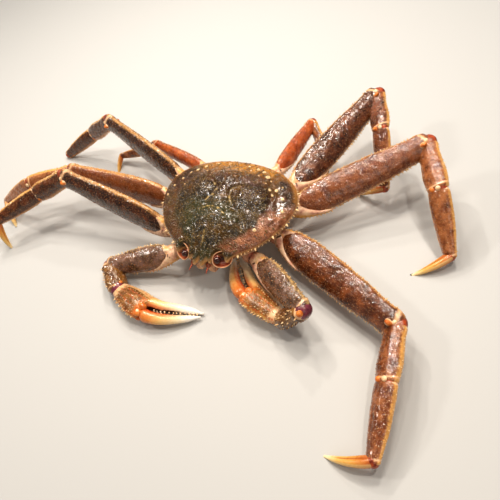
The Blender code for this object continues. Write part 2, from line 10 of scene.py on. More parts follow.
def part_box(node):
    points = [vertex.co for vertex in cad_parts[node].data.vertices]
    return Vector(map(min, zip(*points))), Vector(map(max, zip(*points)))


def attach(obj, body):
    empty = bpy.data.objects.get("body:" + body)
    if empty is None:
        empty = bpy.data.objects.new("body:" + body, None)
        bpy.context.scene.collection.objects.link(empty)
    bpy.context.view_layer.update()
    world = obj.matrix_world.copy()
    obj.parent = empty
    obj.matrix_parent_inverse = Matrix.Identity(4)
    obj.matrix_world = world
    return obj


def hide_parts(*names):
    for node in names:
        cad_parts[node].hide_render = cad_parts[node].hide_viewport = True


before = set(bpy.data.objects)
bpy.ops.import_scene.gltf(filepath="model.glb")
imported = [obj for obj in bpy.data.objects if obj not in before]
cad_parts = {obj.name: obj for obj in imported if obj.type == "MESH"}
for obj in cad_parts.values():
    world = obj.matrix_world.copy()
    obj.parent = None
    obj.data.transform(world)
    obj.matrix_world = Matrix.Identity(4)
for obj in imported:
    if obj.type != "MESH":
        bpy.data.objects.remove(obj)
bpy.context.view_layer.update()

# A male snow crab at rest. The crab faces -Y, its left side is +X.
# Sizes are shares of the carapace's width unless a comment says millimetres or metres.
body = {
    "width": 0.145,
    "height": 0.302,
    "pitch": 4.5,
    "turn": -6.5,
    "place": (0.012, -0.014),
    "length": 0.905,
    "dome": 0.150,
    "margin": 0.030,
    "turns": 240,
    "rings": 96,
    "under": 8,
}
outlineHalf = [
    (0.000, -0.478), (0.027, -0.530), (0.052, -0.480), (0.077, -0.492), (0.090, -0.440),
    (0.118, -0.412), (0.152, -0.420), (0.186, -0.458), (0.216, -0.405), (0.300, -0.330),
    (0.375, -0.250), (0.440, -0.140), (0.482, -0.030), (0.500, 0.090), (0.476, 0.205),
    (0.412, 0.300), (0.310, 0.372), (0.190, 0.415), (0.090, 0.432), (0.000, 0.434),
]
unit = body["width"]
eyeLook = {"place": (0.121, -0.456, 0.028), "radius": 0.030, "share": 0.86, "squash": 0.92}


def at(x, y, z):
    return Vector((x, y, z)) * unit


def inBody(x, y, z):
    return at(x, y * body["length"], z)


def moved(matrix, x, y, z):
    return matrix @ Matrix.Translation((x, y, z))


standing = (Matrix.Translation(at(*body["place"], body["height"]))
            @ Matrix.Rotation(math.radians(body["turn"]), 4, "Z")
            @ Matrix.Rotation(math.radians(body["pitch"]), 4, "X"))
lowEye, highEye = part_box("eye_left")
shift = (Vector(lowEye) + Vector(highEye)) / 2 - standing @ inBody(*eyeLook["place"])
shift.z = 0
bodyFrame = Matrix.Translation(shift) @ standing

# The camera stands before the crab's left front and is rolled a little
view = {
    "elevation": 51.5,
    "turn": 31.3,
    "roll": 19.6,
    "focalPixels": 492.0,
    "distance": 3.545,
    "target": (0.156, -0.130, 0.0),
    "sensor": 36.0,
    "frame": 500,
    "clip": 0.01,
}


def makeCamera():
    elevation, turn, roll = (math.radians(view[key]) for key in ("elevation", "turn", "roll"))
    back = Vector((math.cos(elevation) * math.sin(turn), -math.cos(elevation) * math.cos(turn),
                   math.sin(elevation)))
    right = Vector((math.cos(turn), math.sin(turn), 0))
    up = back.cross(right)
    rolledRight = right * math.cos(roll) - up * math.sin(roll)
    rolledUp = right * math.sin(roll) + up * math.cos(roll)
    camera = bpy.data.cameras.new("photoCamera")
    camera.sensor_width = view["sensor"]
    camera.lens = view["focalPixels"] / view["frame"] * view["sensor"]
    camera.clip_start = view["clip"]
    item = bpy.data.objects.new("photoCamera", camera)
    place = shift + at(*view["target"]) + back * (view["distance"] * unit)
    turnMatrix = Matrix((rolledRight, rolledUp, back)).transposed().to_4x4()
    item.matrix_world = Matrix.Translation(place) @ turnMatrix
    bpy.context.scene.collection.objects.link(item)
    bpy.context.scene.camera = item


makeCamera()
print("camera set")


def clamp(value):
    return min(max(value, 0.0), 1.0)


def smoothStep(low, high, value):
    share = clamp((value - low) / (high - low))
    return share * share * (3 - 2 * share)


def hump(value, centre, width):
    return math.exp(-((value - centre) / width) ** 2)


# Catmull-Rom value between two of four neighbouring values
def cubic(before, start, end, after, share):
    return 0.5 * (2 * start + (end - before) * share
                  + (2 * before - 5 * start + 4 * end - after) * share ** 2
                  + (3 * start - before - 3 * end + after) * share ** 3)


# Smooth values of the columns of a list of stations, at a place along its first column
def curves(stations, place):
    last = len(stations) - 1
    index = 0
    while index < last - 1 and place > stations[index + 1][0]:
        index += 1
    start, end = stations[index], stations[index + 1]
    share = clamp((place - start[0]) / (end[0] - start[0]))
    rows = (stations[max(index - 1, 0)], start, end, stations[min(index + 2, last)])
    return [cubic(*values, share) for values in list(zip(*rows))[1:]]


# Straight values between a list's neighbours, at a share of the whole list
def between(entries, share):
    index = share * (len(entries) - 1)
    low = min(int(index), len(entries) - 2)
    part = index - low
    return [a * (1 - part) + b * part for a, b in zip(entries[low], entries[low + 1])]


# Materials

def linear(hexText):
    values = [int(hexText[i:i + 2], 16) / 255 for i in (1, 3, 5)]
    return [v / 12.92 if v <= 0.04045 else ((v + 0.055) / 1.055) ** 2.4 for v in values] + [1.0]


# A material in the making: its methods add nodes and give their outputs
class Skin:
    def __init__(self, name, roughness, coat, coatRoughness=0.08, specular=0.5):
        self.material = bpy.data.materials.new(name)
        self.material.use_nodes = True
        self.tree = self.material.node_tree
        self.shader = self.tree.nodes["Principled BSDF"]
        self.colour = None
        looks = {"Roughness": roughness, "Coat Weight": coat, "Coat Roughness": coatRoughness,
                 "Specular IOR Level": specular, "Specular Tint": linear("#ffe6c8")}
        for socket, value in looks.items():
            self.shader.inputs[socket].default_value = value

    # One node with its settings, its inputs from values, colours or other nodes' outputs
    def add(self, kind, links, **settings):
        node = self.tree.nodes.new(kind)
        for key, value in settings.items():
            setattr(node, key, value)
        for key, value in links.items():
            if isinstance(value, bpy.types.NodeSocket):
                self.tree.links.new(value, node.inputs[key])
            else:
                node.inputs[key].default_value = linear(value) if isinstance(value, str) else value
        return node

    def value(self, name):
        return self.add("ShaderNodeAttribute", {}, attribute_name=name).outputs["Fac"]

    def maths(self, operation, first, second=0.0):
        return self.add("ShaderNodeMath", {0: first, 1: second}, operation=operation).outputs[0]

    def plus(self, first, second):
        return self.maths("ADD", first, second)

    def times(self, first, second):
        return self.maths("MULTIPLY", first, second)

    # A smooth step, which falls where low is over high
    def step(self, value, low, high, toLow=0.0, toHigh=1.0):
        links = {"Value": value, "From Min": low, "From Max": high, "To Min": toLow, "To Max": toHigh}
        return self.add("ShaderNodeMapRange", links, interpolation_type="SMOOTHSTEP").outputs["Result"]

    # 1 at the centre, falling to 0 a width away on either side
    def near(self, value, centre, width):
        away = self.maths("ABSOLUTE", self.maths("SUBTRACT", value, centre))
        return self.step(away, 0.0, width, 1.0, 0.0)

    def place(self):
        return self.add("ShaderNodeTexCoord", {}).outputs["Object"]

    def noise(self, millimetres, detail=3.0, roughness=0.55, distortion=0.0):
        links = {"Vector": self.place(), "Scale": 1000 / millimetres, "Detail": detail,
                 "Roughness": roughness, "Distortion": distortion}
        return self.add("ShaderNodeTexNoise", links).outputs["Fac"]

    def cells(self, millimetres):
        links = {"Vector": self.place(), "Scale": 1000 / millimetres, "Randomness": 0.9}
        return self.add("ShaderNodeTexVoronoi", links, feature="F1").outputs["Distance"]

    # Noise round 0, to make borders uneven
    def waver(self, millimetres, size, detail=3.0):
        return self.times(self.maths("SUBTRACT", self.noise(millimetres, detail), 0.5), size)

    def ramp(self, factor, *stops):
        node = self.add("ShaderNodeValToRGB", {"Fac": factor})
        elements = node.color_ramp.elements
        while len(elements) < len(stops):
            elements.new(0.5)
        for element, (place, colour) in zip(elements, stops):
            element.position = place
            element.color = linear(colour)
        return node.outputs["Color"]

    def mix(self, factor, first, second):
        return self.add("ShaderNodeMix", {0: factor, 6: first, 7: second}, data_type="RGBA").outputs[2]

    # Lays a colour over those so far where the factor is 1
    def lay(self, factor, colour):
        self.colour = self.mix(factor, self.colour, colour)

    # Each bump is a height and its size, as a number in millimetres or a node's output in metres
    def finish(self, bumps, gloss=None, patch=3.0):
        sockets = self.shader.inputs
        self.tree.links.new(self.colour, sockets["Base Color"])
        if gloss:
            self.tree.links.new(self.step(self.noise(patch), 0.3, 0.7, *gloss), sockets["Roughness"])
        normal = None
        for height, size in bumps:
            distance = size / 1000 if isinstance(size, float) else size
            links = {"Height": height, "Distance": distance, "Strength": 1.0}
            if normal is not None:
                links["Normal"] = normal
            normal = self.add("ShaderNodeBump", links).outputs["Normal"]
        for socket in ("Normal", "Coat Normal"):
            self.tree.links.new(normal, sockets[socket])
        return self.material


# The limbs' colours: deep, middle, light, underside and toothed edge. The other values but the rim's colour
# are pattern sizes in millimetres.
shellLook = {
    "leg": ("#2a0f05", "#572a14", "#844824", "#bc7c4c", "#dca05c"),
    "rearLeg": ("#84350f", "#ad5322", "#c97038", "#dc9258", "#632a0e"),
    "distal": ("#3c1804", "#6d3719", "#a4663c", "#cc9054", "#e6aa5c"),
    "claw": ("#28140a", "#543828", "#856456", "#c09468", "#e8be7c"),
    "clawCarpus": ("#2a1505", "#583312", "#8d602c", "#9a6a3a", "#e8be7c"),
    "palm": ("#3a1c06", "#6c4018", "#9a6630", "#d8a660", "#eab868"),
    "rim": "#e2b184",
    "wave": 5.0,
    "cloud": 9.0,
    "granule": 1.4,
    "granuleHeight": 0.20,
    "grain": 0.6,
}


# Dark clouds with lighter granules, the colour of a limb's broad face. Gives the granules' height.
def layGrains(skin, look):
    tone = skin.plus(skin.noise(shellLook["cloud"], 4.0, 0.62), skin.value("tone"))
    skin.colour = skin.ramp(tone, (0.30, look[0]), (0.50, look[1]), (0.72, look[2]))
    grains = skin.cells(shellLook["granule"])
    patch = skin.step(skin.noise(4.0, 2.0), 0.42, 0.62, 0.15, 0.60)
    skin.lay(skin.times(skin.step(grains, 0.0, 0.40, 1.0, 0.0), patch), look[4])
    return skin.step(grains, 0.0, 0.5, 1.0, 0.0)


# A limb segment: dark granular face, pale toothed edges, paler ends and underside
def makeShell(name, key, edgeStart, rootEnd=-0.006):
    look = shellLook[key]
    skin = Skin(name, 0.3, 0.95, 0.05, 0.30)
    height = layGrains(skin, look)
    waver = skin.waver(2.5, 0.22)
    across = skin.plus(skin.maths("ABSOLUTE", skin.value("across")), waver)
    skin.lay(skin.step(across, edgeStart, edgeStart + 0.15, 0.0, 0.75), look[4])
    skin.lay(skin.step(skin.plus(skin.value("below"), waver), 0.10, 0.60, 0.0, 0.85), look[3])
    along = skin.plus(skin.value("along"), skin.times(waver, 0.10))
    bow = skin.times(skin.times(across, across), 0.055)
    root = skin.step(skin.maths("SUBTRACT", along, bow), rootEnd + 0.006, rootEnd - 0.006)
    tip = skin.near(skin.plus(along, skin.times(bow, 0.5)), 0.998, 0.026)
    skin.lay(skin.times(skin.maths("MAXIMUM", root, tip), 0.9), shellLook["rim"])
    return skin.finish(((skin.noise(shellLook["wave"], 2.0, 0.5), 1.0),
                        (skin.noise(shellLook["grain"], 2.0), 0.05),
                        (height, shellLook["granuleHeight"])), (0.16, 0.40))


# Olive back, golden rear band, brown flanks, pale furrows and edge, a painted highlight along the raised
# bow, cream underside
def makeCarapaceSkin():
    skin = Skin("wetCarapaceShell", 0.3, 0.85, 0.06, 0.20)
    bodyX, bodyY, share, furrowLineAndBowHighlight = (skin.value(name) for name in ("bodyX", "bodyY", "share", "furrowLineAndBowHighlight"))
    skin.colour = skin.ramp(skin.noise(17.0, 5.0, 0.62, 0.8), (0.32, "#090400"), (0.46, "#1e1101"),
                            (0.60, "#402704"), (0.75, "#74490d"))
    green = skin.step(skin.noise(26.0, 2.0), 0.46, 0.62, 0.1, 0.6)
    skin.lay(skin.times(green, skin.step(bodyY, 0.10, -0.15)), "#2f3410")
    redder = skin.step(skin.noise(21.0), 0.42, 0.6, 0.2, 0.8)
    skin.lay(skin.times(redder, skin.step(bodyY, -0.05, 0.16)), "#4a2506")
    waver = skin.waver(11.0, 0.30, 4.0)
    rear = skin.plus(bodyY, waver)
    band = skin.times(skin.step(rear, 0.19, 0.36), skin.step(skin.maths("ABSOLUTE", bodyX), 0.42, 0.22))
    golden = skin.ramp(skin.noise(6.0, 5.0, 0.7), (0.34, "#4e2c08"), (0.50, "#a86c18"), (0.70, "#c9923a"))
    skin.lay(skin.times(band, 0.9), golden)
    flank = skin.step(skin.plus(share, skin.times(waver, 0.5)), 0.80, 0.90)
    for limit in (skin.step(rear, 0.12, -0.04), skin.step(bodyX, -0.05, 0.20, 0.25, 0.9),
                  skin.step(bodyY, -0.42, -0.36)):
        flank = skin.times(flank, limit)
    skin.lay(flank, skin.ramp(skin.noise(8.0, 4.0, 0.65), (0.34, "#4c220c"), (0.56, "#8c5432"),
                              (0.72, "#b07448")))
    rim = skin.times(skin.step(share, 0.955, 0.99), skin.step(rear, 0.0, 0.25))
    skin.lay(skin.times(rim, 0.75), "#b57c3c")
    grains = skin.cells(1.9)
    patch = skin.step(skin.noise(6.0), 0.45, 0.66, 0.08, 0.55)
    skin.lay(skin.times(skin.step(grains, 0.02, 0.36, 1.0, 0.0), patch), "#94773a")
    # Pale furrow lines, and a painted highlight along the raised bow
    line = skin.step(furrowLineAndBowHighlight, 0.40, 1.20, 0.0, 0.8)
    skin.lay(skin.times(line, skin.step(skin.noise(4.0), 0.42, 0.62, 0.05, 1.0)), "#b8985a")
    front = skin.times(skin.step(share, 0.955, 0.985), skin.step(bodyY, -0.40, -0.46, 0.0, 0.5))
    skin.lay(skin.plus(skin.step(share, 0.988, 1.0, 0.0, 0.6), front), "#cf9f68")
    skin.lay(skin.step(share, 1.04, 1.12), skin.ramp(skin.noise(9.0), (0.35, "#a9744e"), (0.65, "#d9b78e")))
    return skin.finish(((skin.noise(7.0, 2.0, 0.5), 1.0), (skin.noise(1.3, 2.0), 0.10),
                        (skin.step(grains, 0.0, 0.55, 1.0, 0.0), 0.50)), (0.12, 0.34), 3.5)


# Clouds between two tones, with a fine grain
def makePlain(name, deep, pale, millimetres, roughness, coat, bump):
    skin = Skin(name, roughness, coat)
    skin.colour = skin.ramp(skin.noise(millimetres, 4.0, 0.6), (0.32, deep), (0.68, pale))
    return skin.finish(((skin.noise(0.8, 2.0), bump),), (roughness * 0.7, roughness * 1.3))


# Cream and pink, with a dark slit round the neck between coxa and ischium
def makeCoxaSkin():
    skin = Skin("coxaShell", 0.32, 0.3)
    along = skin.plus(skin.value("along"), skin.waver(5.0, 0.20, 4.0))
    skin.colour = skin.ramp(along, (0.0, "#a8765c"), (0.30, "#c79a7c"), (0.44, "#b98468"), (0.50, "#4a2015"),
                            (0.56, "#c49676"), (0.80, "#dcba94"), (1.0, "#cf9d6c"))
    skin.lay(skin.step(skin.noise(7.0), 0.50, 0.68, 0.0, 0.6), "#b5695a")
    return skin.finish(((skin.noise(4.0), 0.5), (skin.noise(0.7, 2.0), 0.12)), (0.2, 0.42))


# The plate over a merus's root: cream and pink, with a yellow toothed edge and a dark slit
def makeFlareSkin():
    skin = Skin("ischiumShell", 0.3, 0.3)
    skin.colour = skin.ramp(skin.noise(6.0), (0.34, "#b8806a"), (0.52, "#d3a888"), (0.70, "#e2c19c"))
    edge = skin.plus(skin.value("across"), skin.waver(3.0, 0.3))
    skin.lay(skin.step(edge, -0.55, -0.9, 0.0, 0.85), "#d9a04a")
    skin.lay(skin.step(edge, 0.80, 0.98, 0.0, 0.7), "#a9623a")
    skin.lay(skin.step(skin.value("slit"), 0.35, 0.75), "#1e0a06")
    return skin.finish(((skin.noise(3.0), 0.35), (skin.noise(0.7, 2.0), 0.10)), (0.2, 0.42))


# The palm's brown face with red granule rows, its cream margin and the pale fixed finger, with painted shade
# along the finger's toothed inner edge
def makePalmSkin():
    look = shellLook["palm"]
    skin = Skin("wetPalmShell", 0.3, 0.35)
    height = layGrains(skin, look)
    waver = skin.waver(3.5, 0.22)
    across = skin.plus(skin.value("across"), waver)
    along = skin.value("along")
    skin.lay(skin.times(skin.step(across, -0.50, -0.72), 0.85), "#d9b27c")
    skin.lay(skin.step(across, 0.93, 1.02, 0.0, 0.6), look[4])
    skin.lay(skin.step(skin.plus(along, skin.times(waver, 0.15)), 0.150, 0.115, 0.0, 0.9), "#dcb184")
    rows = skin.step(skin.maths("SINE", skin.times(across, 15.0)), 0.45, 0.95)
    skin.lay(skin.times(rows, skin.step(skin.noise(1.6, 2.0), 0.42, 0.58, 0.0, 0.75)), "#b8501c")
    skin.lay(skin.step(skin.plus(skin.value("below"), waver), 0.10, 0.60, 0.0, 0.85), look[3])
    orange = skin.times(skin.near(along, 0.410, 0.040), skin.step(across, -0.5, 0.0))
    skin.lay(skin.times(orange, 0.8), "#cc6a22")
    finger = skin.ramp(along, (0.42, "#c98744"), (0.56, "#dfb678"), (0.72, "#ecd6ae"), (0.88, "#f2e8da"))
    inner = skin.times(skin.step(across, 0.35, 0.8), skin.step(along, 0.80, 0.55))
    finger = skin.mix(skin.times(inner, 0.8), finger, "#c05a2a")
    # Painted shade: a dark band along the fixed finger's toothed inner edge, for the shaded gap between the
    # fingers
    paintedGapShade = skin.times(skin.step(across, 0.84, 0.96), skin.step(along, 0.84, 0.72))
    finger = skin.mix(paintedGapShade, finger, "#2e0e06")
    skin.lay(skin.step(skin.plus(along, skin.times(waver, 0.25)), 0.40, 0.47), finger)
    rough = skin.step(along, 0.42, 0.50, shellLook["granuleHeight"] / 1000, 0.00002)
    return skin.finish(((height, rough), (skin.noise(0.7, 2.0), 0.1)), (0.18, 0.4))


# The movable finger: orange-red at the root and the toothed edge, cream outside, white tip, and painted
# shade along the toothed inner edge
def makeFingerSkin():
    skin = Skin("clawFingerShell", 0.28, 0.35)
    waver = skin.waver(4.0, 0.22)
    along, across = (skin.plus(skin.value(name), waver) for name in ("along", "across"))
    skin.colour = skin.ramp(along, (0.0, "#c2652c"), (0.16, "#cf8040"), (0.34, "#dfae6c"), (0.62, "#ecd2a6"),
                            (0.85, "#f4ebdf"))
    inner = skin.times(skin.step(across, 0.1, -0.6), skin.step(along, 0.85, 0.40))
    skin.lay(skin.times(inner, 0.9), "#b8461c")
    # Painted shade: a dark band along the toothed inner edge, for the shaded gap between the fingers
    skin.lay(skin.times(skin.step(across, -0.84, -0.96), skin.step(along, 0.80, 0.66)), "#2e0e06")
    groove = skin.times(skin.step(skin.value("groove"), 0.3, 0.9), skin.step(along, 0.8, 0.3))
    skin.lay(skin.times(groove, 0.7), "#c95a26")
    return skin.finish(((skin.noise(1.2, 2.0), 0.06),), (0.18, 0.36))


# A walking leg's last segment: orange root and grooves, ochre sides, ivory tip
def makeTipSkin():
    skin = Skin("walkingTipShell", 0.3, 0.35)
    along = skin.plus(skin.value("along"), skin.waver(4.0, 0.20))
    skin.colour = skin.ramp(along, (0.0, "#8f4420"), (0.12, "#b5662e"), (0.38, "#cb8f42"), (0.70, "#dcae62"),
                            (0.92, "#ecd3a4"))
    groove = skin.step(skin.value("groove"), 0.25, 0.9, 0.0, 0.75)
    skin.lay(skin.times(groove, skin.step(along, 0.95, 0.6)), "#9a4a1e")
    skin.lay(skin.step(skin.maths("ABSOLUTE", skin.value("across")), 0.88, 1.0, 0.0, 0.5), "#e3c184")
    return skin.finish(((skin.noise(1.0, 2.0), 0.08),), (0.2, 0.4))


# The eye's socket: brown outside, a cream rim and orange-red within
def makeOrbitSkin():
    skin = Skin("redOrbitShell", 0.26, 0.5)
    along = skin.plus(skin.value("along"), skin.waver(2.0, 0.12))
    skin.colour = skin.ramp(along, (0.30, "#a06c4c"), (0.42, "#b98058"), (0.50, "#e6bd92"),
                            (0.58, "#cc8058"), (0.70, "#b4543a"), (0.82, "#8c3422"), (0.97, "#3a120c"))
    return skin.finish(((skin.noise(1.0), 0.12),))


# A cream shell with darker sutures, by the pieces' groove values
def makeGrooved(name, deep, pale, groove):
    skin = Skin(name, 0.32, 0.3)
    skin.colour = skin.ramp(skin.noise(11.0, 4.0, 0.6), (0.34, deep), (0.62, pale))
    skin.lay(skin.step(skin.noise(5.0), 0.52, 0.70, 0.0, 0.45), groove)
    skin.lay(skin.step(skin.value("groove"), 0.15, 0.9, 0.0, 0.8), groove)
    return skin.finish(((skin.noise(2.5, 4.0), 0.25), (skin.noise(0.7, 2.0), 0.08)), (0.22, 0.44))


def makeEyeSkin():
    skin = Skin("eyeSurface", 0.10, 0.5, 0.04, 0.4)
    skin.colour = skin.ramp(skin.noise(2.0, 2.0), (0.3, "#1a0a0a"), (0.7, "#4a2220"))
    return skin.finish(((skin.cells(0.35), 0.01),))


# Each material and a slot name
materials = {
    "carapace": (makeCarapaceSkin(), "carapace_shell"),
    "leg": (makeShell("wetLegShell", "leg", 0.89, 0.012), "leg_shell"),
    "rearLeg": (makeShell("wetRearLegShell", "rearLeg", 0.89, 0.012), "leg_shell"),
    "distal": (makeShell("wetDistalShell", "distal", 0.85), "leg_shell"),
    "claw": (makeShell("wetClawArmShell", "claw", 0.92, 0.02), "claw_shell"),
    "clawCarpus": (makeShell("wetClawWristShell", "clawCarpus", 0.985), "claw_shell"),
    "palm": (makePalmSkin(), "claw_shell"),
    "finger": (makeFingerSkin(), "finger_shell"),
    "dactylus": (makeTipSkin(), "finger_shell"),
    "coxa": (makeCoxaSkin(), "pale_shell"),
    "flare": (makeFlareSkin(), "pale_shell"),
    "pale": (makeGrooved("creamUndersideShell", "#c19670", "#e6d0ae", "#9c5f42"), "pale_shell"),
    "mouth": (makeGrooved("mouthPlateShell", "#ab7658", "#d8b08c", "#8a4630"), "pale_shell"),
    "orbit": (makeOrbitSkin(), "carapace_shell"),
    "eye": (makeEyeSkin(), "eye"),
}
# Name, slot, deep and pale colour, cloud size, roughness, coat and bump height
plainLook = {
    "stalk": ("eyeStalkShell", "carapace_shell", "#5e2418", "#a85a3c", 2.0, 0.25, 0.5, 0.1),
    "hinge": ("orangeHingeSkin", "finger_shell", "#a8481a", "#df8a3a", 3.0, 0.22, 0.5, 0.05),
    "wrist": ("purpleWristSkin", "finger_shell", "#451722", "#84394a", 4.0, 0.25, 0.5, 0.15),
    "spine": ("paleSpineTips", "leg_shell", "#c68a50", "#f0d8a8", 3.0, 0.3, 0.3, 0.05),
    "granule": ("glossyGranules", "leg_shell", "#562c14", "#a87044", 3.0, 0.16, 0.8, 0.03),
    "shellGranule": ("glossyCarapaceGranules", "carapace_shell", "#2a1c08", "#7a6030", 5.0, 0.10, 1.0, 0.02),
    "condyle": ("creamJointKnobs", "pale_shell", "#cf9460", "#ecd4ae", 3.0, 0.25, 0.4, 0.05),
    "membrane": ("jointMembrane", "finger_shell", "#5c1a10", "#b04c22", 4.0, 0.3, 0.4, 0.15),
    "spot": ("paleShellSpots", "carapace_shell", "#b8925c", "#dcc094", 2.5, 0.35, 0.2, 0.1),
    "antenna": ("redFeelerShell", "finger_shell", "#8c2a18", "#c05834", 3.0, 0.3, 0.3, 0.03),
}
for key, (name, slot, *look) in plainLook.items():
    materials[key] = (makePlain(name, *look), slot)
print("materials made")


# Pieces

def addPiece(name, shape, key, nodes=(), slot=""):
    material, usualSlot = materials[key]
    slot = slot or usualSlot
    mesh = bpy.data.meshes.new(name)
    bmesh.ops.recalc_face_normals(shape, faces=shape.faces)
    shape.to_mesh(mesh)
    shape.free()
    mesh.shade_smooth()
    mesh.materials.append(material)
    item = bpy.data.objects.new(name, mesh)
    bpy.context.scene.collection.objects.link(item)
    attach(item, "root")
    if nodes:
        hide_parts(*nodes)


# A closed tube: place(angle, row) gives a point and the values of its attributes
def tube(sides, rows, place, attributes):
    shape = bmesh.new()
    layers = [shape.verts.layers.float.new(name) for name in attributes]
    bmesh.ops.create_grid(shape, x_segments=sides, y_segments=rows - 1, size=0.5)
    for vertex in shape.verts:
        angle = (vertex.co.x + 0.5) * 2 * math.pi
        row = round((vertex.co.y + 0.5) * (rows - 1))
        vertex.co, values = place(angle, row)
        for layer, value in zip(layers, values):
            vertex[layer] = value
    bmesh.ops.remove_doubles(shape, verts=shape.verts, dist=2e-6)
    return shape


# A piece of many small shapes, made in batches because one long list in one mesh is slow
def addSmall(name, items, addOne, key, slot="", size=60):
    shape = bmesh.new()
    for start in range(0, len(items), size):
        batch = bmesh.new()
        for item in items[start:start + size]:
            addOne(batch, *item)
        mesh = bpy.data.meshes.new("batch")
        batch.to_mesh(mesh)
        batch.free()
        shape.from_mesh(mesh)
        bpy.data.meshes.remove(mesh)
    addPiece(name, shape, key, (), slot)


def facing(place, way):
    return Matrix.Translation(place) @ way.to_track_quat("Z", "Y").to_matrix().to_4x4()


# A small pointed spine with its root sunk in
def addCone(shape, place, way, root, length):
    for low, high, start, end in ((-0.5, 0.45, 1.0, 0.60), (0.45, 1.0, 0.60, 0.10)):
        matrix = facing(place + way * (length * (low + high) / 2), way)
        bmesh.ops.create_cone(shape, cap_ends=high == 1.0, segments=6, radius1=root * start,
                              radius2=root * end, depth=length * (high - low), matrix=matrix)


# A low round granule
def addDome(shape, place, way, root, tall):
    matrix = facing(place, way) @ Matrix.Diagonal((root, root, tall, 1.0))
    bmesh.ops.create_icosphere(shape, subdivisions=1, radius=1.0, matrix=matrix)


def addKnob(shape, matrix, sizes):
    scale = Matrix.Diagonal((*sizes, 1.0))
    bmesh.ops.create_uvsphere(shape, u_segments=16, v_segments=10, radius=1.0, matrix=matrix @ scale)


def onFloor(point):
    point.z = max(point.z, 0.0)
    return point


# The limbs' plan, the same as the solids': socket and hip, then each segment's length and its half breadth
# and half thickness
rootsOfLimbs = {
    1: ((0.205, -0.265, 0.175), (0.338, -0.350, 0.175)),
    2: ((0.262, -0.105, 0.190), (0.450, -0.140, 0.200)),
    3: ((0.282, 0.060, 0.205), (0.492, 0.115, 0.225)),
    4: ((0.250, 0.190, 0.235), (0.440, 0.285, 0.262)),
    5: ((0.170, 0.262, 0.262), (0.290, 0.385, 0.288)),
}
lengthsOfLimbs = {
    1: (0.493, 0.214, 0.298, 0.409),
    2: (0.930, 0.330, 0.410, 0.275),
    3: (0.936, 0.355, 0.435, 0.270),
    4: (0.928, 0.338, 0.422, 0.290),
    5: (0.572, 0.254, 0.294, 0.220),
}
breadthsOfLimbs = {
    1: ((0.088, 0.060), (0.076, 0.062), (0.100, 0.062), (0.046, 0.040)),
    2: ((0.108, 0.058), (0.078, 0.052), (0.070, 0.046), (0.036, 0.030)),
    3: ((0.108, 0.058), (0.076, 0.050), (0.068, 0.044), (0.036, 0.030)),
    4: ((0.100, 0.054), (0.070, 0.046), (0.062, 0.040), (0.034, 0.028)),
    5: ((0.058, 0.040), (0.044, 0.034), (0.040, 0.030), (0.024, 0.020)),
}
# Each segment's heading and rise, the lean of each broad face, and how pale the limb is
pose = {
    ("left", 1): (((-43, 8), (182, -46), (150, 1)), (40, 60, 67), 0.0),
    ("left", 2): (((-34, -2), (-92, 0), (-93, -11), (-178, -20)), (55, 55, 55), 0.02),
    ("left", 3): (((31, 10), (-74, -8), (-71, -38), (-151, -18)), (55, 55, 55), 0.12),
    ("left", 4): (((60, 9), (-78, -4), (-79, -36), (163, -33)), (60, 60, 60), -0.06),
    ("left", 5): (((76, -3), (-60, -14), (-80, -32), (-100, -12)), (40, 40, 40), -0.04),
    ("right", 1): (((-13, -10), (-128, -4), (-156, -1)), (40, 60, 78), 0.08),
    ("right", 2): (((14, 14), (-15, -22), (-40, -10), (-117, -68)), (15, 15, 15), -0.14),
    ("right", 3): (((8, 5), (-26, 1), (-6, -29), (-126, -28)), (15, 15, 15), 0.20),
    ("right", 4): (((29, 10), (10, -32), (-9, -30), (-9, -30)), (10, 10, 10), -0.20),
    ("right", 5): (((25, -1), (22, -35), (-1, -14), (-95, -31)), (15, 15, 15), 0.0),
}
# Shares of the half breadth and half thickness along each kind of segment
forms = {
    "coxa": ((0.0, 0.92, 0.92), (0.18, 1.02, 1.0), (0.40, 0.96, 0.96), (0.50, 0.82, 0.86),
             (0.60, 0.92, 0.92), (0.85, 1.08, 1.0), (1.0, 1.02, 0.96)),
    "merus": ((0.0, 0.54, 0.72), (0.06, 0.74, 0.84), (0.14, 0.90, 0.93), (0.30, 1.0, 1.0),
              (0.62, 0.93, 0.95), (0.90, 0.76, 0.86), (0.965, 0.80, 0.92), (1.0, 0.74, 0.84)),
    "carpus": ((0.0, 0.80, 0.84), (0.08, 0.94, 0.96), (0.25, 0.88, 0.92), (0.72, 1.0, 1.0),
               (0.95, 0.92, 0.96), (1.0, 0.88, 0.92)),
    "propodus": ((0.0, 0.84, 0.88), (0.06, 0.96, 0.98), (0.25, 1.0, 1.0), (0.65, 0.86, 0.86),
                 (0.96, 0.62, 0.72), (1.0, 0.60, 0.70)),
    "dactylus": ((0.0, 0.96, 1.0), (0.18, 1.0, 1.0), (0.50, 0.76, 0.78), (0.80, 0.46, 0.48),
                 (1.0, 0.20, 0.22)),
}
limbLook = {
    "sides": 44,
    "rows": 56,
    "cap": 5,
    "ends": (0.7, 0.45),
    "coxaEnds": (0.2, 0.75),
    "coxaHalf": (0.056, 0.050),
    "slimCoxa": 0.72,
    "keel": 0.05,
    "uneven": 0.035,
    "spineStart": 0.05,
    "spineEnd": 0.95,
    "aboveFloor": 0.0008,
}
# Lengthwise furrows in a kind of segment: place across, width and depth
furrowsOfKinds = {"merus": ((0.62, 0.12, 0.035), (-0.55, 0.14, 0.02)), "coxa": ()}
plainFurrows = ((0.45, 0.13, 0.06), (-0.35, 0.13, 0.06))
sideSigns = {"left": 1, "right": -1}


def wayTo(side, heading, rise):
    heading, rise = math.radians(heading), math.radians(rise)
    return Vector((side * math.cos(heading) * math.cos(rise), math.sin(heading) * math.cos(rise),
                   math.sin(rise)))


# A segment's frame: x along it, y through it and z across its broad face
def segmentFrame(start, along, lean, side):
    upper = (Vector((0, 0, 1)) - along * along.z).normalized()
    upper = Matrix.Rotation(-side * math.radians(lean), 3, along) @ upper
    through = upper.cross(along)
    return Matrix.Translation(start) @ Matrix((along, through, upper)).transposed().to_4x4()


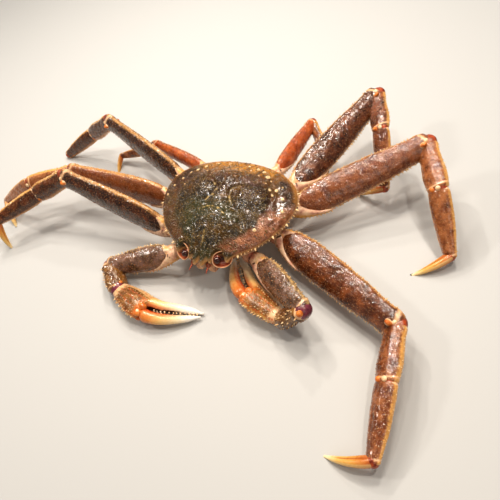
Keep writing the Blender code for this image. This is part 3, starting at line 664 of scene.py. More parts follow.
# The end of a curved middle line and its tilt there
def bentPath(distance, bend, span):
    steps = 24
    point = Vector((0, 0, 0))
    for index in range(steps):
        here = distance * (index + 0.5) / steps
        angle = -math.radians(bend) * smoothStep(span[0], span[1], here)
        point += Vector((math.cos(angle), 0, math.sin(angle))) * (distance / steps)
    return point, -math.radians(bend) * smoothStep(span[0], span[1], distance)


# Places along a segment and the share of its breadth there, with round ends
def capRows(length, startCap, endCap, rows, cap):
    steps = []
    for index in range(cap):
        angle = math.radians(90 * (1 - index / cap))
        steps.append((-startCap * math.sin(angle), math.cos(angle)))
    for index in range(rows):
        steps.append((length * index / (rows - 1), 1.0))
    for index in range(1, cap + 1):
        angle = math.radians(90 * index / cap)
        steps.append((length + endCap * math.sin(angle), math.cos(angle)))
    return steps


# Keels along both edges, shallow lengthwise furrows and a little unevenness
def legRelief(kind, share, angle, seed, length):
    across = math.cos(angle)
    furrow = sum(deep * hump(across, middle, wide)
                 for middle, wide, deep in furrowsOfKinds.get(kind, plainFurrows))
    furrow *= smoothStep(0.0, 0.15, share) * smoothStep(1.0, 0.9, share)
    place = Vector((share * length * 130, across * 2 + seed, math.sin(angle) * 2))
    keel = limbLook["keel"] * hump(abs(across), 1.0, 0.10)
    return 1.0 + keel - furrow + limbLook["uneven"] * noise.noise(place)


def limbSegment(prefix, kind, matrix, length, halfWide, halfThin, seed, key, flat, tone):
    name = prefix + kind
    form = forms[kind]
    steps = capRows(length, form[0][1] * halfWide * flat[0], form[-1][1] * halfWide * flat[1],
                    limbLook["rows"], limbLook["cap"])
    turn = matrix.to_3x3()

    def place(angle, row):
        distance, shrink = steps[row]
        share = clamp(distance / length)
        wide, thin = curves(form, share)
        swell = legRelief(kind, share, angle, seed, length) * shrink
        point = matrix @ Vector((distance, math.sin(angle) * thin * halfThin * swell,
                                 math.cos(angle) * wide * halfWide * swell))
        outward = turn @ Vector((0, math.sin(angle) / halfThin, math.cos(angle) / halfWide)).normalized()
        return onFloor(point), (distance / length, math.cos(angle), -outward.z, tone)

    shape = tube(limbLook["sides"], len(steps), place, ("along", "across", "below", "tone"))
    addPiece(name, shape, key, (name,))


# Small shapes in rows: each row has its angle, first and last place, number, spread of its angle, and radius
# and height in millimetres. place(distance, angle) gives a point in the matrix's frame and an outward way.
def inRows(rows, matrix, place, draw, stagger, sizes):
    shapes = []
    for angle, first, last, count, spread, root, tall in rows:
        for index in range(count):
            distance = first + (last - first) * (index + draw.uniform(*stagger)) / count
            local, way = place(distance, math.radians(angle + draw.uniform(-spread, spread)))
            size = draw.uniform(*sizes) / 1000
            shapes.append((matrix @ local, (matrix.to_3x3() @ way).normalized(), root * size, tall * size))
    return [shape for shape in shapes if shape[0].z > limbLook["aboveFloor"]]


# Rows on a limb's segment, from its table and the shares of its numbers, radii and heights
def segmentRows(kind, matrix, length, halfWide, halfThin, table, shares, draw):
    def place(share, angle):
        wide, thin = curves(forms[kind], share)
        wide, thin = wide * halfWide, thin * halfThin
        outward = Vector((0.0, math.sin(angle) / thin, math.cos(angle) / wide)).normalized()
        outward.x = 0.35
        return Vector((share * length, math.sin(angle) * thin, math.cos(angle) * wide)), outward

    rows = [(angle, limbLook["spineStart"], limbLook["spineEnd"], round(count * shares[0]), spread,
             root * shares[1], tall * shares[2]) for angle, count, spread, root, tall in table]
    return inRows(rows, matrix, place, draw, (0.15, 0.85), (0.65, 1.15))


# The same row on both sides of a segment, at each of the angles
def bothSides(angles, *row):
    return tuple((angle * sign, *row) for sign in (1, -1) for angle in angles)


# Rows of spines and granules: angle, number, spread, radius and height in millimetres
spineRows = {
    "merus": ((0, 42, 5, 1.15, 2.1), (180, 42, 5, 1.25, 2.4), *bothSides((15,), 32, 6, 0.65, 1.2),
              *bothSides((165,), 32, 6, 0.65, 1.1)),
    "carpus": ((0, 14, 7, 0.90, 1.5), (180, 13, 7, 0.90, 1.5), *bothSides((22,), 11, 8, 0.55, 0.9)),
    "propodus": ((0, 20, 7, 0.60, 1.2), (180, 18, 7, 0.60, 1.2)),
    "clawMerus": ((0, 16, 7, 1.2, 2.4), (180, 16, 7, 1.2, 2.4), *bothSides((28,), 16, 10, 0.8, 1.5)),
    "clawCarpus": ((0, 8, 12, 1.0, 2.5), (180, 7, 12, 1.0, 2.2), *bothSides((40,), 9, 14, 0.8, 1.5)),
}
granuleRows = {
    "merus": bothSides((34, 52, 72, 100, 128, 150), 34, 9, 0.62, 0.42),
    "carpus": bothSides((35, 65, 95, 125, 150), 12, 12, 0.60, 0.42),
    "propodus": bothSides((22, 48, 90, 130, 160), 16, 9, 0.52, 0.34),
    "clawMerus": bothSides((50, 75, 100, 125, 150), 20, 12, 0.80, 0.55),
    "clawCarpus": bothSides((60, 90, 120, 150), 9, 14, 0.85, 0.70),
}
# Shares of the spines' and granules' numbers, radii and heights on a slim leg
slimRows = ((0.6, 0.75, 0.7), (0.55, 1.0, 1.0))
# In half breadths and half thicknesses of the joint, but the open pit in widths of the carapace
kneeLook = {
    "ball": 0.92,
    "wristBall": 1.08,
    "knob": 0.25,
    "knobAt": (0.84, 0.18),
    "pit": 0.24,
    "pitAt": (0.82, -0.40),
    "openPit": (-0.005, -0.046, 0.038),
    "openPitSize": 0.022,
    "ring": (0.34, 0.44, 0.30),
    "ringAt": (0.42, 0.70),
    "eye": (0.32, 0.44, 0.21),
    "eyeAt": (0.04, 0.15),
    "tipBall": 0.85,
}


# On both broad faces at the far end of a walking leg's merus: an orange-red pit in a cream ring
def addFacePits(lumps, matrix, length, wide, thin):
    for sign in (1, -1):
        back, out = kneeLook["ringAt"]
        place = moved(matrix, length - wide * back, sign * thin * out, 0)
        addKnob(lumps["kneeKnobs"], place, [size * wide for size in kneeLook["ring"]])
        ahead, out = kneeLook["eyeAt"]
        addKnob(lumps["kneePits"], moved(place, wide * ahead, sign * wide * out, 0),
                [size * wide for size in kneeLook["eye"]])


# A ball in the joint, and on each side a cream hinge knob beside a soft orange spot
def addKnee(lumps, skin, place, wide, thin):
    ball = kneeLook["ball"]
    deep = kneeLook["wristBall"] if skin == "wristSkin" else ball
    addKnob(lumps[skin], place, (wide * ball, thin * deep, wide * ball))
    for sign in (1, -1):
        for name, key, ahead, sizes in (("kneeKnobs", "knob", 0.0, (1.0, 0.75, 1.0)),
                                        ("kneePits", "pit", 0.3, (1.1, 0.8, 1.1))):
            size = wide * kneeLook[key]
            out, aside = kneeLook[key + "At"]
            addKnob(lumps[name], moved(place, size * ahead, sign * thin * out, wide * aside),
                    [size * share for share in sizes])


# The ischium's plate along the front edge of the merus: distance along, middle across, half breadth
# and half thickness, in widths for a merus as broad as the second leg's
flareLook = {
    "low": ((-0.060, 0.000, 0.054, 0.050), (-0.015, -0.016, 0.064, 0.057), (0.030, -0.046, 0.048, 0.051),
            (0.070, -0.075, 0.031, 0.042), (0.120, -0.098, 0.019, 0.031), (0.175, -0.111, 0.011, 0.020),
            (0.225, -0.116, 0.003, 0.005)),
    "high": ((-0.050, -0.002, 0.040, 0.040), (-0.010, 0.022, 0.044, 0.044), (0.030, 0.046, 0.028, 0.036),
             (0.065, 0.066, 0.017, 0.026), (0.100, 0.082, 0.009, 0.016), (0.125, 0.090, 0.003, 0.005)),
    "teeth": {"low": 8, "high": 4},
    "toothSize": (0.9, 2.0),
    "slit": (-0.008, 0.55, 0.0085, 0.040),
    "rows": 30,
    "sides": 28,
}


# A tapering plate from the hip along one edge of the merus. Gives the teeth along its rim.
def makeFlare(prefix, title, matrix, breadths, draw):
    stations = flareLook[title]
    wide, thin = (own / usual for own, usual in zip(breadths, breadthsOfLimbs[2][0]))
    first, last = stations[0][0], stations[-1][0]
    rows = flareLook["rows"]
    sign = -1 if title == "low" else 1

    def section(distance, angle, size=1.0):
        middle, half, deep = curves(stations, distance)
        return at(distance, math.sin(angle) * deep * thin * size,
                  (middle + math.cos(angle) * half * size) * wide)

    def place(angle, row):
        distance = first + (last - first) * min(max(row - 1, 0), rows - 3) / (rows - 3)
        c, s = math.cos(angle), math.sin(angle)
        uneven = 1 + 0.06 * noise.noise(Vector((distance * 40, c * 2, s * 2 + wide)))
        local = section(distance, angle, 0.0 if row in (0, rows - 1) else uneven)
        start, slant, narrow, long = flareLook["slit"]
        across = local.z / unit
        slit = hump(distance - start + sign * slant * across, 0.0, narrow) * hump(across / wide, 0.0, long)
        return onFloor(matrix @ local), (-sign * c, slit * (sign < 0))

    addPiece(prefix + title + "Flare", tube(flareLook["sides"], rows, place, ("across", "slit")), "flare")
    way = (matrix.to_3x3() @ Vector((0.35, 0, sign))).normalized()
    teeth = []
    for index in range(flareLook["teeth"][title]):
        distance = (last - 0.02) * (index + draw.uniform(0.3, 0.7)) / flareLook["teeth"][title]
        size = draw.uniform(0.8, 1.1) / 1000
        teeth.append((matrix @ section(distance, math.pi if sign < 0 else 0.0), way,
                      *(share * size for share in flareLook["toothSize"])))
    return teeth


# A walking leg's tip, and the short rounded stub of the lost one: distance and radius along it
tipLook = {
    "curve": 26.0,
    "caps": (0.42, 0.08),
    "rows": 34,
    "cap": 4,
    "groove": 0.16,
    "stub": 0.030,
    "stubHalf": 0.024,
    "stubForm": ((-0.5, 0.0), (-0.5, 0.9), (0.0, 1.0), (0.7, 0.92), (1.0, 0.80), (0.96, 0.62), (0.55, 0.45),
                 (0.3, 0.0)),
}


def makeTip(name, matrix, length, halfWide, halfThin):
    steps = capRows(length, *(halfWide * cap for cap in tipLook["caps"]), tipLook["rows"], tipLook["cap"])
    end, _ = bentPath(length, tipLook["curve"], (0.0, length))
    turn = Matrix.Rotation(math.atan2(end.z, end.x), 3, "Y")

    def place(angle, row):
        distance, shrink = steps[row]
        share = clamp(distance / length)
        point, tilt = bentPath(max(distance, 0.0), tipLook["curve"], (0.0, length))
        point.x += min(distance, 0.0)
        groove = hump(math.cos(angle), 0.15, 0.22) * smoothStep(0.02, 0.15, share)
        groove *= smoothStep(0.95, 0.7, share)
        swell = shrink * (1.0 - tipLook["groove"] * groove)
        wide, thin = (size * swell for size in curves(forms["dactylus"], share))
        point += Vector((-math.sin(tilt), 0, math.cos(tilt))) * (math.cos(angle) * wide * halfWide)
        local = turn @ point + Vector((0, math.sin(angle) * thin * halfThin, 0))
        return onFloor(matrix @ local), (share, math.cos(angle), groove)

    addPiece(name, tube(28, len(steps), place, ("along", "across", "groove")), "dactylus", (name,))


def makeStub(name, matrix):
    form = tipLook["stubForm"]

    def place(angle, row):
        distance, radius = form[row]
        ragged = 1.0 + 0.10 * math.sin(angle * 3 + 1) * (distance > 0.8)
        radius *= tipLook["stubHalf"]
        local = at(distance * tipLook["stub"] * ragged, math.sin(angle) * radius, math.cos(angle) * radius)
        return onFloor(matrix @ local), (0.9 - 0.7 * (row > 4), math.cos(angle), 0.0)

    addPiece(name, tube(24, len(form), place, ("along", "across", "groove")), "dactylus", (name,))


# Palm and movable finger: distance, half breadth, half thickness and offset across, in spreads
claw = {
    "bend": 34.0,
    "span": (0.18, 0.50),
    "spread": 0.050,
    "sides": 40,
    "palm": ((-0.03, 0.030, 0.028, 0.0), (0.00, 0.052, 0.046, 0.0), (0.08, 0.078, 0.054, 0.0),
             (0.19, 0.098, 0.060, 0.0), (0.270, 0.100, 0.057, 0.0), (0.288, 0.090, 0.054, -0.10),
             (0.302, 0.048, 0.047, -0.98), (0.40, 0.040, 0.040, -1.0), (0.52, 0.033, 0.031, -0.90),
             (0.63, 0.022, 0.021, -0.64), (0.705, 0.006, 0.008, -0.30)),
    "finger": ((0.296, 0.028, 0.034, 0.98), (0.315, 0.041, 0.044, 1.06), (0.35, 0.043, 0.041, 1.10),
               (0.48, 0.034, 0.032, 0.98), (0.60, 0.023, 0.021, 0.68), (0.690, 0.006, 0.008, 0.30)),
}
# Rows of spines and teeth: angle, first and last place, number, spread, radius and height in millimetres
palmRows = (
    (0, 0.04, 0.27, 10, 8, 1.1, 3.0), (180, 0.04, 0.30, 10, 8, 0.8, 1.6),
    *bothSides((26,), 0.04, 0.27, 10, 6, 0.9, 1.7), *bothSides((58,), 0.05, 0.28, 10, 8, 0.9, 1.3),
    *bothSides((86,), 0.05, 0.29, 10, 8, 0.9, 1.3), *bothSides((112,), 0.05, 0.30, 10, 8, 0.9, 1.2),
)
toothRows = {"palm": ((0, 0.34, 0.67, 12, 4, 1.3, 1.9),), "finger": ((180, 0.35, 0.65, 12, 4, 1.3, 1.9),)}
# Hinge of the fingers: distance, angle and how deep the knobs lie in metres, then each knob's piece and its
# half sizes in metres
hingeLook = (
    (0.283, 38, 0.0022, (("kneePits", (0.0046, 0.0034, 0.0046)), ("kneeKnobs", (0.0028, 0.0040, 0.0028)))),
    (0.287, 74, 0.0025, (("kneePits", (0.0048, 0.0042, 0.0040)),)),
)


# A point on the palm or a finger in the palm's frame, with its outward and forward ways
def clawPlace(stations, distance, angle, size=1.0):
    half, thin, offset = curves(stations, distance)
    point, tilt = bentPath(distance * unit, claw["bend"], [edge * unit for edge in claw["span"]])
    wide = Vector((-math.sin(tilt), 0, math.cos(tilt)))
    forward = Vector((math.cos(tilt), 0, math.sin(tilt)))
    local = point + wide * ((offset * claw["spread"] + math.cos(angle) * half * size) * unit)
    local.y += math.sin(angle) * thin * size * unit
    outward = (wide * (math.cos(angle) / half) + Vector((0, math.sin(angle) / thin, 0))).normalized()
    return local, outward, forward


def makeClawTube(name, title, matrix, rows, key):
    stations = claw[title]
    first, last = stations[0][0], stations[-1][0]
    steps = [first, *(first + (last - first) * index / (rows - 1) for index in range(rows)), last]
    turn = matrix.to_3x3()

    def place(angle, row):
        distance = steps[row]
        across = math.cos(angle)
        uneven = 1.0 + 0.03 * noise.noise(Vector((distance * 20, across * 2, math.sin(angle) * 2)))
        uneven += 0.04 * hump(abs(across), 1.0, 0.12)
        closed = row in (0, len(steps) - 1)
        local, outward, _ = clawPlace(stations, distance, angle, 0.0 if closed else uneven)
        groove = 0.9 * hump(across, 0.0, 0.25) * smoothStep(0.28, 0.36, distance)
        share = (distance - first) / (last - first)
        return onFloor(matrix @ local), (share, across, groove, -(turn @ outward).z, 0.04)

    shape = tube(claw["sides"], len(steps), place, ("along", "across", "groove", "below", "tone"))
    addPiece(name, shape, key, (name,))


def clawRows(title, matrix, rows, draw):
    def place(distance, angle):
        local, outward, forward = clawPlace(claw[title], distance, angle)
        return local, outward + forward * 0.3

    return inRows(rows, matrix, place, draw, (0.3, 0.7), (0.8, 1.15))


# The palm with its two fingers. Gives the spines on the palm.
def makeClawEnd(prefix, matrix, lumps, draw):
    makeClawTube(prefix + "palm", "palm", matrix, 96, "palm")
    makeClawTube(prefix + "dactylus", "finger", matrix, 50, "finger")
    spines = clawRows("palm", matrix, palmRows, draw)
    teeth = [tooth for title, rows in toothRows.items() for tooth in clawRows(title, matrix, rows, draw)]
    addSmall(prefix + "fingerTeeth", teeth, addCone, "condyle", "finger_shell")
    for sign in (1, -1):
        for distance, angle, deep, knobs in hingeLook:
            point, outward, _ = clawPlace(claw["palm"], distance, math.radians(sign * angle))
            for name, sizes in knobs:
                addKnob(lumps[name], moved(matrix, *(point - outward * deep)), sizes)
    return spines


def makeLimb(sideName, pair):
    side = sideSigns[sideName]
    headings, leans, tone = pose[(sideName, pair)]
    isClaw, isSlim = pair == 1, pair == 5
    prefix = "%s_%s_" % (sideName, "claw" if isClaw else "leg%d" % pair)
    keys = {"merus": "rearLeg" if isSlim else "leg", "carpus": "distal", "propodus": "distal"}
    if isClaw:
        keys = {"merus": "claw", "carpus": "clawCarpus", "palm": "palm"}
    lengths = [value * unit for value in lengthsOfLimbs[pair]]
    halves = [(wide * unit, thin * unit) for wide, thin in breadthsOfLimbs[pair]]
    socket, hip = (at(x * side, y, z) + shift for x, y, z in rootsOfLimbs[pair])
    joints, frames = [hip], []
    for angles, lean, length in zip(headings, (*leans, leans[-1]), lengths):
        way = wayTo(side, *angles)
        frames.append(segmentFrame(joints[-1], way, lean, side))
        joints.append(joints[-1] + way * length)
    seed = pair * 3.7 + side
    draw = random.Random(pair * 10 + side)
    lumps = {name: bmesh.new() for name in ("kneeKnobs", "kneePits", "kneeMembranes", "wristSkin")}
    cones, domes = [], []

    slim = limbLook["slimCoxa"] if isSlim else 1.0
    coxa = hip - socket
    matrix = segmentFrame(socket, coxa.normalized(), leans[0], side)
    halfWide, halfThin = (half * unit * slim for half in limbLook["coxaHalf"])
    limbSegment(prefix, "coxa", matrix, coxa.length, halfWide, halfThin, seed, "coxa",
                limbLook["coxaEnds"], 0.0)
    for title in ("low", "high"):
        cones += makeFlare(prefix, title, frames[0], breadthsOfLimbs[pair][0], draw)

    ends = None
    for index, (kind, key) in enumerate(keys.items()):
        matrix = frames[index]
        if ends:
            isWrist = kind == "palm" or (sideName, pair) == ("left", 1)
            addKnee(lumps, "wristSkin" if isWrist else "kneeMembranes", matrix, *ends)
            if isWrist and kind == "carpus":
                spot = Matrix.Translation(joints[index] + at(*kneeLook["openPit"]))
                addKnob(lumps["kneePits"], spot, [kneeLook["openPitSize"] * unit] * 3)
        if kind == "palm":
            cones += makeClawEnd(prefix, matrix, lumps, draw)
            break
        segment = (kind, matrix, lengths[index], *halves[index])
        limbSegment(prefix, *segment, seed + index, key, limbLook["ends"], tone)
        ends = [share * half for share, half in zip(forms[kind][-1][1:], halves[index])]
        if kind == "merus" and not isClaw:
            addFacePits(lumps, matrix, lengths[0], *ends)
        table = "claw" + kind.capitalize() if isClaw else kind
        spineShares, granuleShares = slimRows if isSlim else ((1.0, 1.0, 1.0),) * 2
        cones += segmentRows(*segment, spineRows[table], spineShares, draw)
        domes += segmentRows(*segment, granuleRows[table], granuleShares, draw)
    if not isClaw:
        addKnob(lumps["kneeMembranes"], frames[3], [ends[0] * kneeLook["tipBall"]] * 3)
        if (sideName, pair) == ("right", 4):
            makeStub(prefix + "dactylus", frames[3])
        else:
            makeTip(prefix + "dactylus", frames[3], lengths[3], *halves[3])
    addSmall(prefix + "spinules", cones, addCone, "spine")
    addSmall(prefix + "granules", domes, addDome, "granule")
    for key, (name, shape) in zip(("condyle", "hinge", "membrane", "wrist"), lumps.items()):
        if shape.verts:
            addPiece(prefix + name, shape, key)


for sideName in sideSigns:
    for pair in rootsOfLimbs:
        makeLimb(sideName, pair)
print("limbs made")


# The carapace

outline = outlineHalf + [(-x, y) for x, y in reversed(outlineHalf[1:-1])]


# A point of the outline at a turn from 0 to 1, drawn in towards the middle by a share. Further in, the
# mean of a few places along the outline smooths it.
def outlineAt(turn, share):
    count = len(outline)
    where = turn * count
    index = int(where) % count
    points = [outline[(index + step) % count] for step in (-1, 0, 1, 2)]
    point = [cubic(*values, where - int(where)) for values in zip(*points)]
    blend = smoothStep(0.0, 0.16, 1 - share)
    if blend > 0:
        steps = [(where + step * 0.5) % count for step in range(-8, 9)]
        for axis in (0, 1):
            mean = 0.0
            for step in steps:
                low, rest = int(step) % count, step - int(step)
                ahead = outline[(low + 1) % count][axis]
                mean += (outline[low][axis] * (1 - rest) + ahead * rest) / len(steps)
            point[axis] = point[axis] * (1 - blend) + mean * blend
    return point[0] * share, point[1] * share


# Furrows on the left half of the back: path, width and depth
furrows = (
    (((0.098, -0.045), (0.060, 0.020), (0.052, 0.080), (0.100, 0.130)), 0.015, 0.014),
    (((0.098, -0.045), (0.160, -0.095), (0.215, -0.170)), 0.022, 0.007),
    (((0.100, 0.130), (0.150, 0.170), (0.190, 0.260)), 0.018, 0.005),
    (((0.0, -0.300), (0.0, -0.380), (0.0, -0.470)), 0.012, 0.014),
    (((0.088, -0.300), (0.082, -0.360), (0.085, -0.430)), 0.012, 0.010),
)
# The raised bow that closes the stomach region behind, painted pale as a highlight along its ridge: path,
# width and height
bow = (((0.0, -0.112), (0.045, -0.120), (0.088, -0.150)), 0.012, 0.010)
# Raised regions: middle, half width, half length and height
hills = (
    (0.0, -0.20, 0.115, 0.13, 0.030), (0.0, 0.20, 0.08, 0.08, 0.020), (0.28, 0.10, 0.12, 0.17, 0.022),
    (0.17, -0.22, 0.06, 0.08, 0.012), (0.0, 0.045, 0.035, 0.06, 0.010), (0.16, 0.04, 0.05, 0.09, 0.012),
    (0.045, -0.36, 0.025, 0.11, 0.010), (0.15, -0.34, 0.035, 0.06, 0.010), (0.36, -0.09, 0.06, 0.08, 0.008),
)
# Unevenness of the back: height, waves in a width, and a place in the noise
unevenness = ((0.0045, 15, 1), (0.0025, 38, 3))


# How far a place is from a path
def distanceTo(path, x, y):
    least = 9.0
    for (ax, ay), (bx, by) in zip(path, path[1:]):
        dx, dy = bx - ax, by - ay
        share = clamp(((x - ax) * dx + (y - ay) * dy) / (dx * dx + dy * dy))
        least = min(least, math.hypot(x - ax - dx * share, y - ay - dy * share))
    return least


# Height over the margin's plane, and how deep in a furrow or near the bow the place is: the mask of the pale
# furrow lines and of the bow's painted highlight
def shellHeight(share, x, y):
    side = abs(x)
    fade = smoothStep(0.0, 0.30, 1 - share)
    raised = hump(distanceTo(bow[0], side, y), 0.0, bow[1])
    height = raised * bow[2]
    # The raised bow's mask, which the skin paints pale as a highlight
    line = raised * 1.2
    for hillX, hillY, wide, long, tall in hills:
        height += tall * hump(side, hillX, wide) * hump(y, hillY, long)
    for path, width, deep in furrows:
        away = distanceTo(path, side, y)
        amount = hump(away, 0.0, width) if away < width * 3 else 0.0
        height -= deep * amount
        line = max(line, amount * min(deep / 0.014, 1.0))
    dome = body["dome"] * (1 - share ** 2.6) ** 0.62
    return dome + height * fade + body["margin"] * share ** 4, line * fade


def makeCarapace():
    rows, under = body["rings"], body["under"]

    def place(angle, row):
        turn = angle / (2 * math.pi)
        if row < under:
            x, y = outlineAt(turn, max(0.985 * row / (under - 1), 1e-6))
            return bodyFrame @ inBody(x, y, 0.0), (x, y, 1.2, 0.0)
        share = math.sin(math.pi / 2 * (1 - (row - under) / (rows - under - 1)))
        x, y = outlineAt(turn, max(share, 1e-6))
        height, line = shellHeight(share, x, y)
        rough = sum(tall * noise.noise(Vector((x * waves, y * waves, layer)))
                    for tall, waves, layer in unevenness)
        height += rough * smoothStep(0.0, 0.1, 1 - share)
        return bodyFrame @ inBody(x, y, height), (x, y, share, line)

    shape = tube(body["turns"], rows, place, ("bodyX", "bodyY", "share", "furrowLineAndBowHighlight"))
    bmesh.ops.recalc_face_normals(shape, faces=shape.faces)
    surface = BVHTree.FromBMesh(shape)
    addPiece("carapaceShell", shape, "carapace", ("carapace",))
    return surface


# Granules on the back, with radii and heights in millimetres
granules = {
    "seed": 5,
    "tries": 5200,
    "spacing": 0.0130,
    "root": (0.55, 1.20),
    "tall": (0.35, 0.80),
}
# Spines on each side of the margin: their number and stretch of the outline, which of them are large, and
# the radius and height in millimetres of a large one
marginLook = {
    "count": 40,
    "start": 0.215,
    "turns": 0.245,
    "largeUntil": 26,
    "largeEach": 5,
    "size": (1.7, 3.8),
}
# Pale round spots: their height in millimetres, then each one's place in widths and radius in millimetres
spotTall = 0.7
spots = (
    (0.245, 0.282, 2.6), (0.148, 0.350, 1.9), (0.199, 0.330, 2.0), (0.302, 0.157, 1.9), (0.343, 0.172, 2.0),
    (0.334, 0.113, 1.5), (0.403, 0.113, 1.8), (0.432, 0.011, 1.8), (0.281, 0.246, 1.2), (0.307, -0.192, 2.0),
    (-0.302, 0.264, 2.0), (-0.251, 0.309, 1.9), (-0.345, 0.230, 1.5), (-0.170, 0.356, 1.4),
    (-0.383, 0.160, 1.5), (-0.428, 0.088, 1.4), (0.078, 0.363, 1.4), (-0.076, 0.374, 1.3),
    (-0.446, -0.005, 1.4), (0.372, 0.215, 1.1), (0.260, 0.205, 0.9), (0.180, 0.275, 1.0),
    (-0.210, 0.250, 1.0), (0.110, 0.310, 0.9), (-0.330, 0.090, 1.0),
)


# The place on the back over a point of the margin's plane, and the surface's outward way there
def onShell(surface, x, y):
    return surface.ray_cast(bodyFrame @ inBody(x, y, 0.5), -bodyFrame.col[2].xyz)[:2]


def makeGranules(surface, draw):
    cells = set()
    domes = []
    for _ in range(granules["tries"]):
        share = math.sqrt(draw.uniform(0.0, 0.95))
        x, y = outlineAt(draw.random(), share)
        cell = tuple(int(value / granules["spacing"] + 100) for value in (x, y))
        if cell in cells:
            continue
        cells.add(cell)
        crowd = 0.55 + 0.6 * noise.noise(Vector((x * 9, y * 9, 7)))
        if draw.random() > crowd or (shellHeight(share, x, y)[1] > 0.5 and draw.random() < 0.8):
            continue
        size = draw.uniform(0.0, 1.0) ** 2
        sizes = [(low + (high - low) * size) / 1000 for low, high in (granules["root"], granules["tall"])]
        domes.append((*onShell(surface, x, y), *sizes))
    addSmall("carapaceGranules", domes, addDome, "shellGranule")


def makeSpots(surface):
    shape = bmesh.new()
    for x, y, radius in spots:
        sizes = [size / 1000 for size in (radius, radius * 0.9, spotTall)]
        addKnob(shape, facing(*onShell(surface, x, y)), sizes)
    addPiece("carapaceSpots", shape, "spot")


def makeMarginSpines(draw):
    cones = []
    count = marginLook["count"]
    for side in (0, 1):
        for index in range(count):
            turn = marginLook["start"] + marginLook["turns"] * (index + draw.uniform(0.3, 0.7)) / count
            turn = 1 - turn if side else turn
            x, y = outlineAt(turn, 1.0)
            ahead = outlineAt((turn + 0.004) % 1, 1.0)
            outward = Vector((ahead[0] - x, ahead[1] - y, 0)).cross(Vector((0, 0, 1))).normalized()
            way = (bodyFrame.to_3x3() @ (outward + Vector((0, -0.35, 0.25)))).normalized()
            large = index % marginLook["largeEach"] == 0 and index < marginLook["largeUntil"]
            size = 1.0 if large else draw.uniform(0.40, 0.60)
            z = body["margin"] * draw.uniform(0.6, 1.0)
            sizes = [value * size / 1000 for value in marginLook["size"]]
            cones.append((bodyFrame @ inBody(x * 0.997, y * 0.997, z), way, *sizes))
    addSmall("carapaceMarginSpines", cones, addCone, "spine", "carapace_shell")


backSurface = makeCarapace()
shellDraw = random.Random(granules["seed"])
makeGranules(backSurface, shellDraw)
makeSpots(backSurface)
makeMarginSpines(shellDraw)
print("carapace made")


# Eyes in their orbits, and feelers

# The socket's section is distance from its middle line and depth, from the back round the rim and in.
# The stalk's sizes are in metres.
orbitLook = {
    "place": (0.147, -0.436, 0.022),
    "radius": 0.068,
    "heading": 30,
    "rise": 45,
    "oval": 0.80,
    "section": ((0.00, -0.80), (0.45, -0.76), (0.80, -0.50), (0.98, -0.12), (1.04, 0.06), (1.02, 0.13),
                (0.96, 0.12), (0.88, 0.00), (0.78, -0.22), (0.50, -0.42), (0.25, -0.50), (0.00, -0.52)),
    "sides": 40,
    "rows": 40,
    "stalk": (0.108, -0.436, 0.022),
    "stalkSize": (0.0040, 0.0034, 0.0034),
}
# The base's sizes are in metres
antennaLook = {
    "root": (0.058, -0.505, -0.012),
    "length": 0.056,
    "halves": (0.0062, 0.0018),
    "rows": 24,
    "base": (0.056, -0.486, -0.008),
    "baseSize": (0.0026, 0.0040, 0.0024),
}


# The body's frame at a place that is given for the left side
def besideBody(side, x, y, z):
    return bodyFrame @ Matrix.Translation(inBody(x * side, y, z))


def makeLump(name, side, place, sizes, key, slot):
    shape = bmesh.new()
    addKnob(shape, besideBody(side, *place), sizes)
    addPiece(name, shape, key, (), slot)


def makeOrbit(name, side):
    way = wayTo(side, orbitLook["heading"] - 90, orbitLook["rise"])
    matrix = besideBody(side, *orbitLook["place"]) @ facing((0, 0, 0), way)

    def place(angle, row):
        share = row / (orbitLook["rows"] - 1)
        radius, depth = between(orbitLook["section"], share)
        c, s = math.cos(angle), math.sin(angle)
        radius *= 1 + 0.05 * noise.noise(Vector((c * 1.5, s * 1.5, side * 5)))
        local = at(c * radius, s * radius * orbitLook["oval"], depth) * orbitLook["radius"]
        return matrix @ local, (share,)

    addPiece("orbit_" + name, tube(orbitLook["sides"], orbitLook["rows"], place, ("along",)), "orbit")
    makeLump("eyeStalk_" + name, side, orbitLook["stalk"], orbitLook["stalkSize"], "stalk", "")


def makeAntenna(name, side):
    x, y, z = antennaLook["root"]
    rows = antennaLook["rows"]

    def place(angle, row):
        share = max(row - 1, 0) / (rows - 2)
        length = antennaLook["length"] * share
        centre = inBody(x * side, y, z)
        centre += at(0.10 * length * side, -0.86 * length, 0.10 * length - 2.0 * length ** 2)
        rootHalf, tipHalf = antennaLook["halves"]
        half = 0.0
        if row not in (0, rows - 1):
            half = (rootHalf * (1 - share) + tipHalf * share) * (1 + 0.12 * math.sin(share * 60))
        return bodyFrame @ (centre + at(math.cos(angle) * half, 0, math.sin(angle) * half)), (share,)

    addPiece("feeler_" + name, tube(12, rows, place, ("along",)), "antenna", ("antenna_" + name,))
    makeLump("feelerBase_" + name, side, antennaLook["base"], antennaLook["baseSize"], "stalk", "pale_shell")


def makeEye(name, side):
    shape = bmesh.new()
    matrix = besideBody(side, *eyeLook["place"]) @ Matrix.Diagonal((1.0, eyeLook["squash"], 1.0, 1.0))
    radius = eyeLook["radius"] * eyeLook["share"] * unit
    bmesh.ops.create_uvsphere(shape, u_segments=32, v_segments=20, radius=radius, matrix=matrix)
    addPiece("eyeBall_" + name, shape, "eye", ("eye_" + name,))


# The underside: levels of height, half width and half length, sutures by middle and slope, and the
# abdomen's stations and joints, as the solids'
underside = {
    "levels": ((0.0, 0.400, 0.405), (-0.06, 0.395, 0.398), (-0.12, 0.34, 0.36), (-0.155, 0.26, 0.30),
               (-0.165, 0.20, 0.26)),
    "shift": -0.01,
    "face": -0.385,
    "faceLean": 25.5,
    "sutures": ((-0.185, -0.30), (-0.040, -0.10), (0.090, 0.12), (0.185, 0.35)),
    "sides": 20,
    "rows": 38,
    "abdomen": ((-0.16, 0.022), (-0.12, 0.040), (0.00, 0.058), (0.12, 0.082), (0.21, 0.085)),
    "joints": (-0.115, -0.055, 0.005, 0.060, 0.110, 0.160),
    "thick": 0.026,
    "abdomenRows": 60,
}


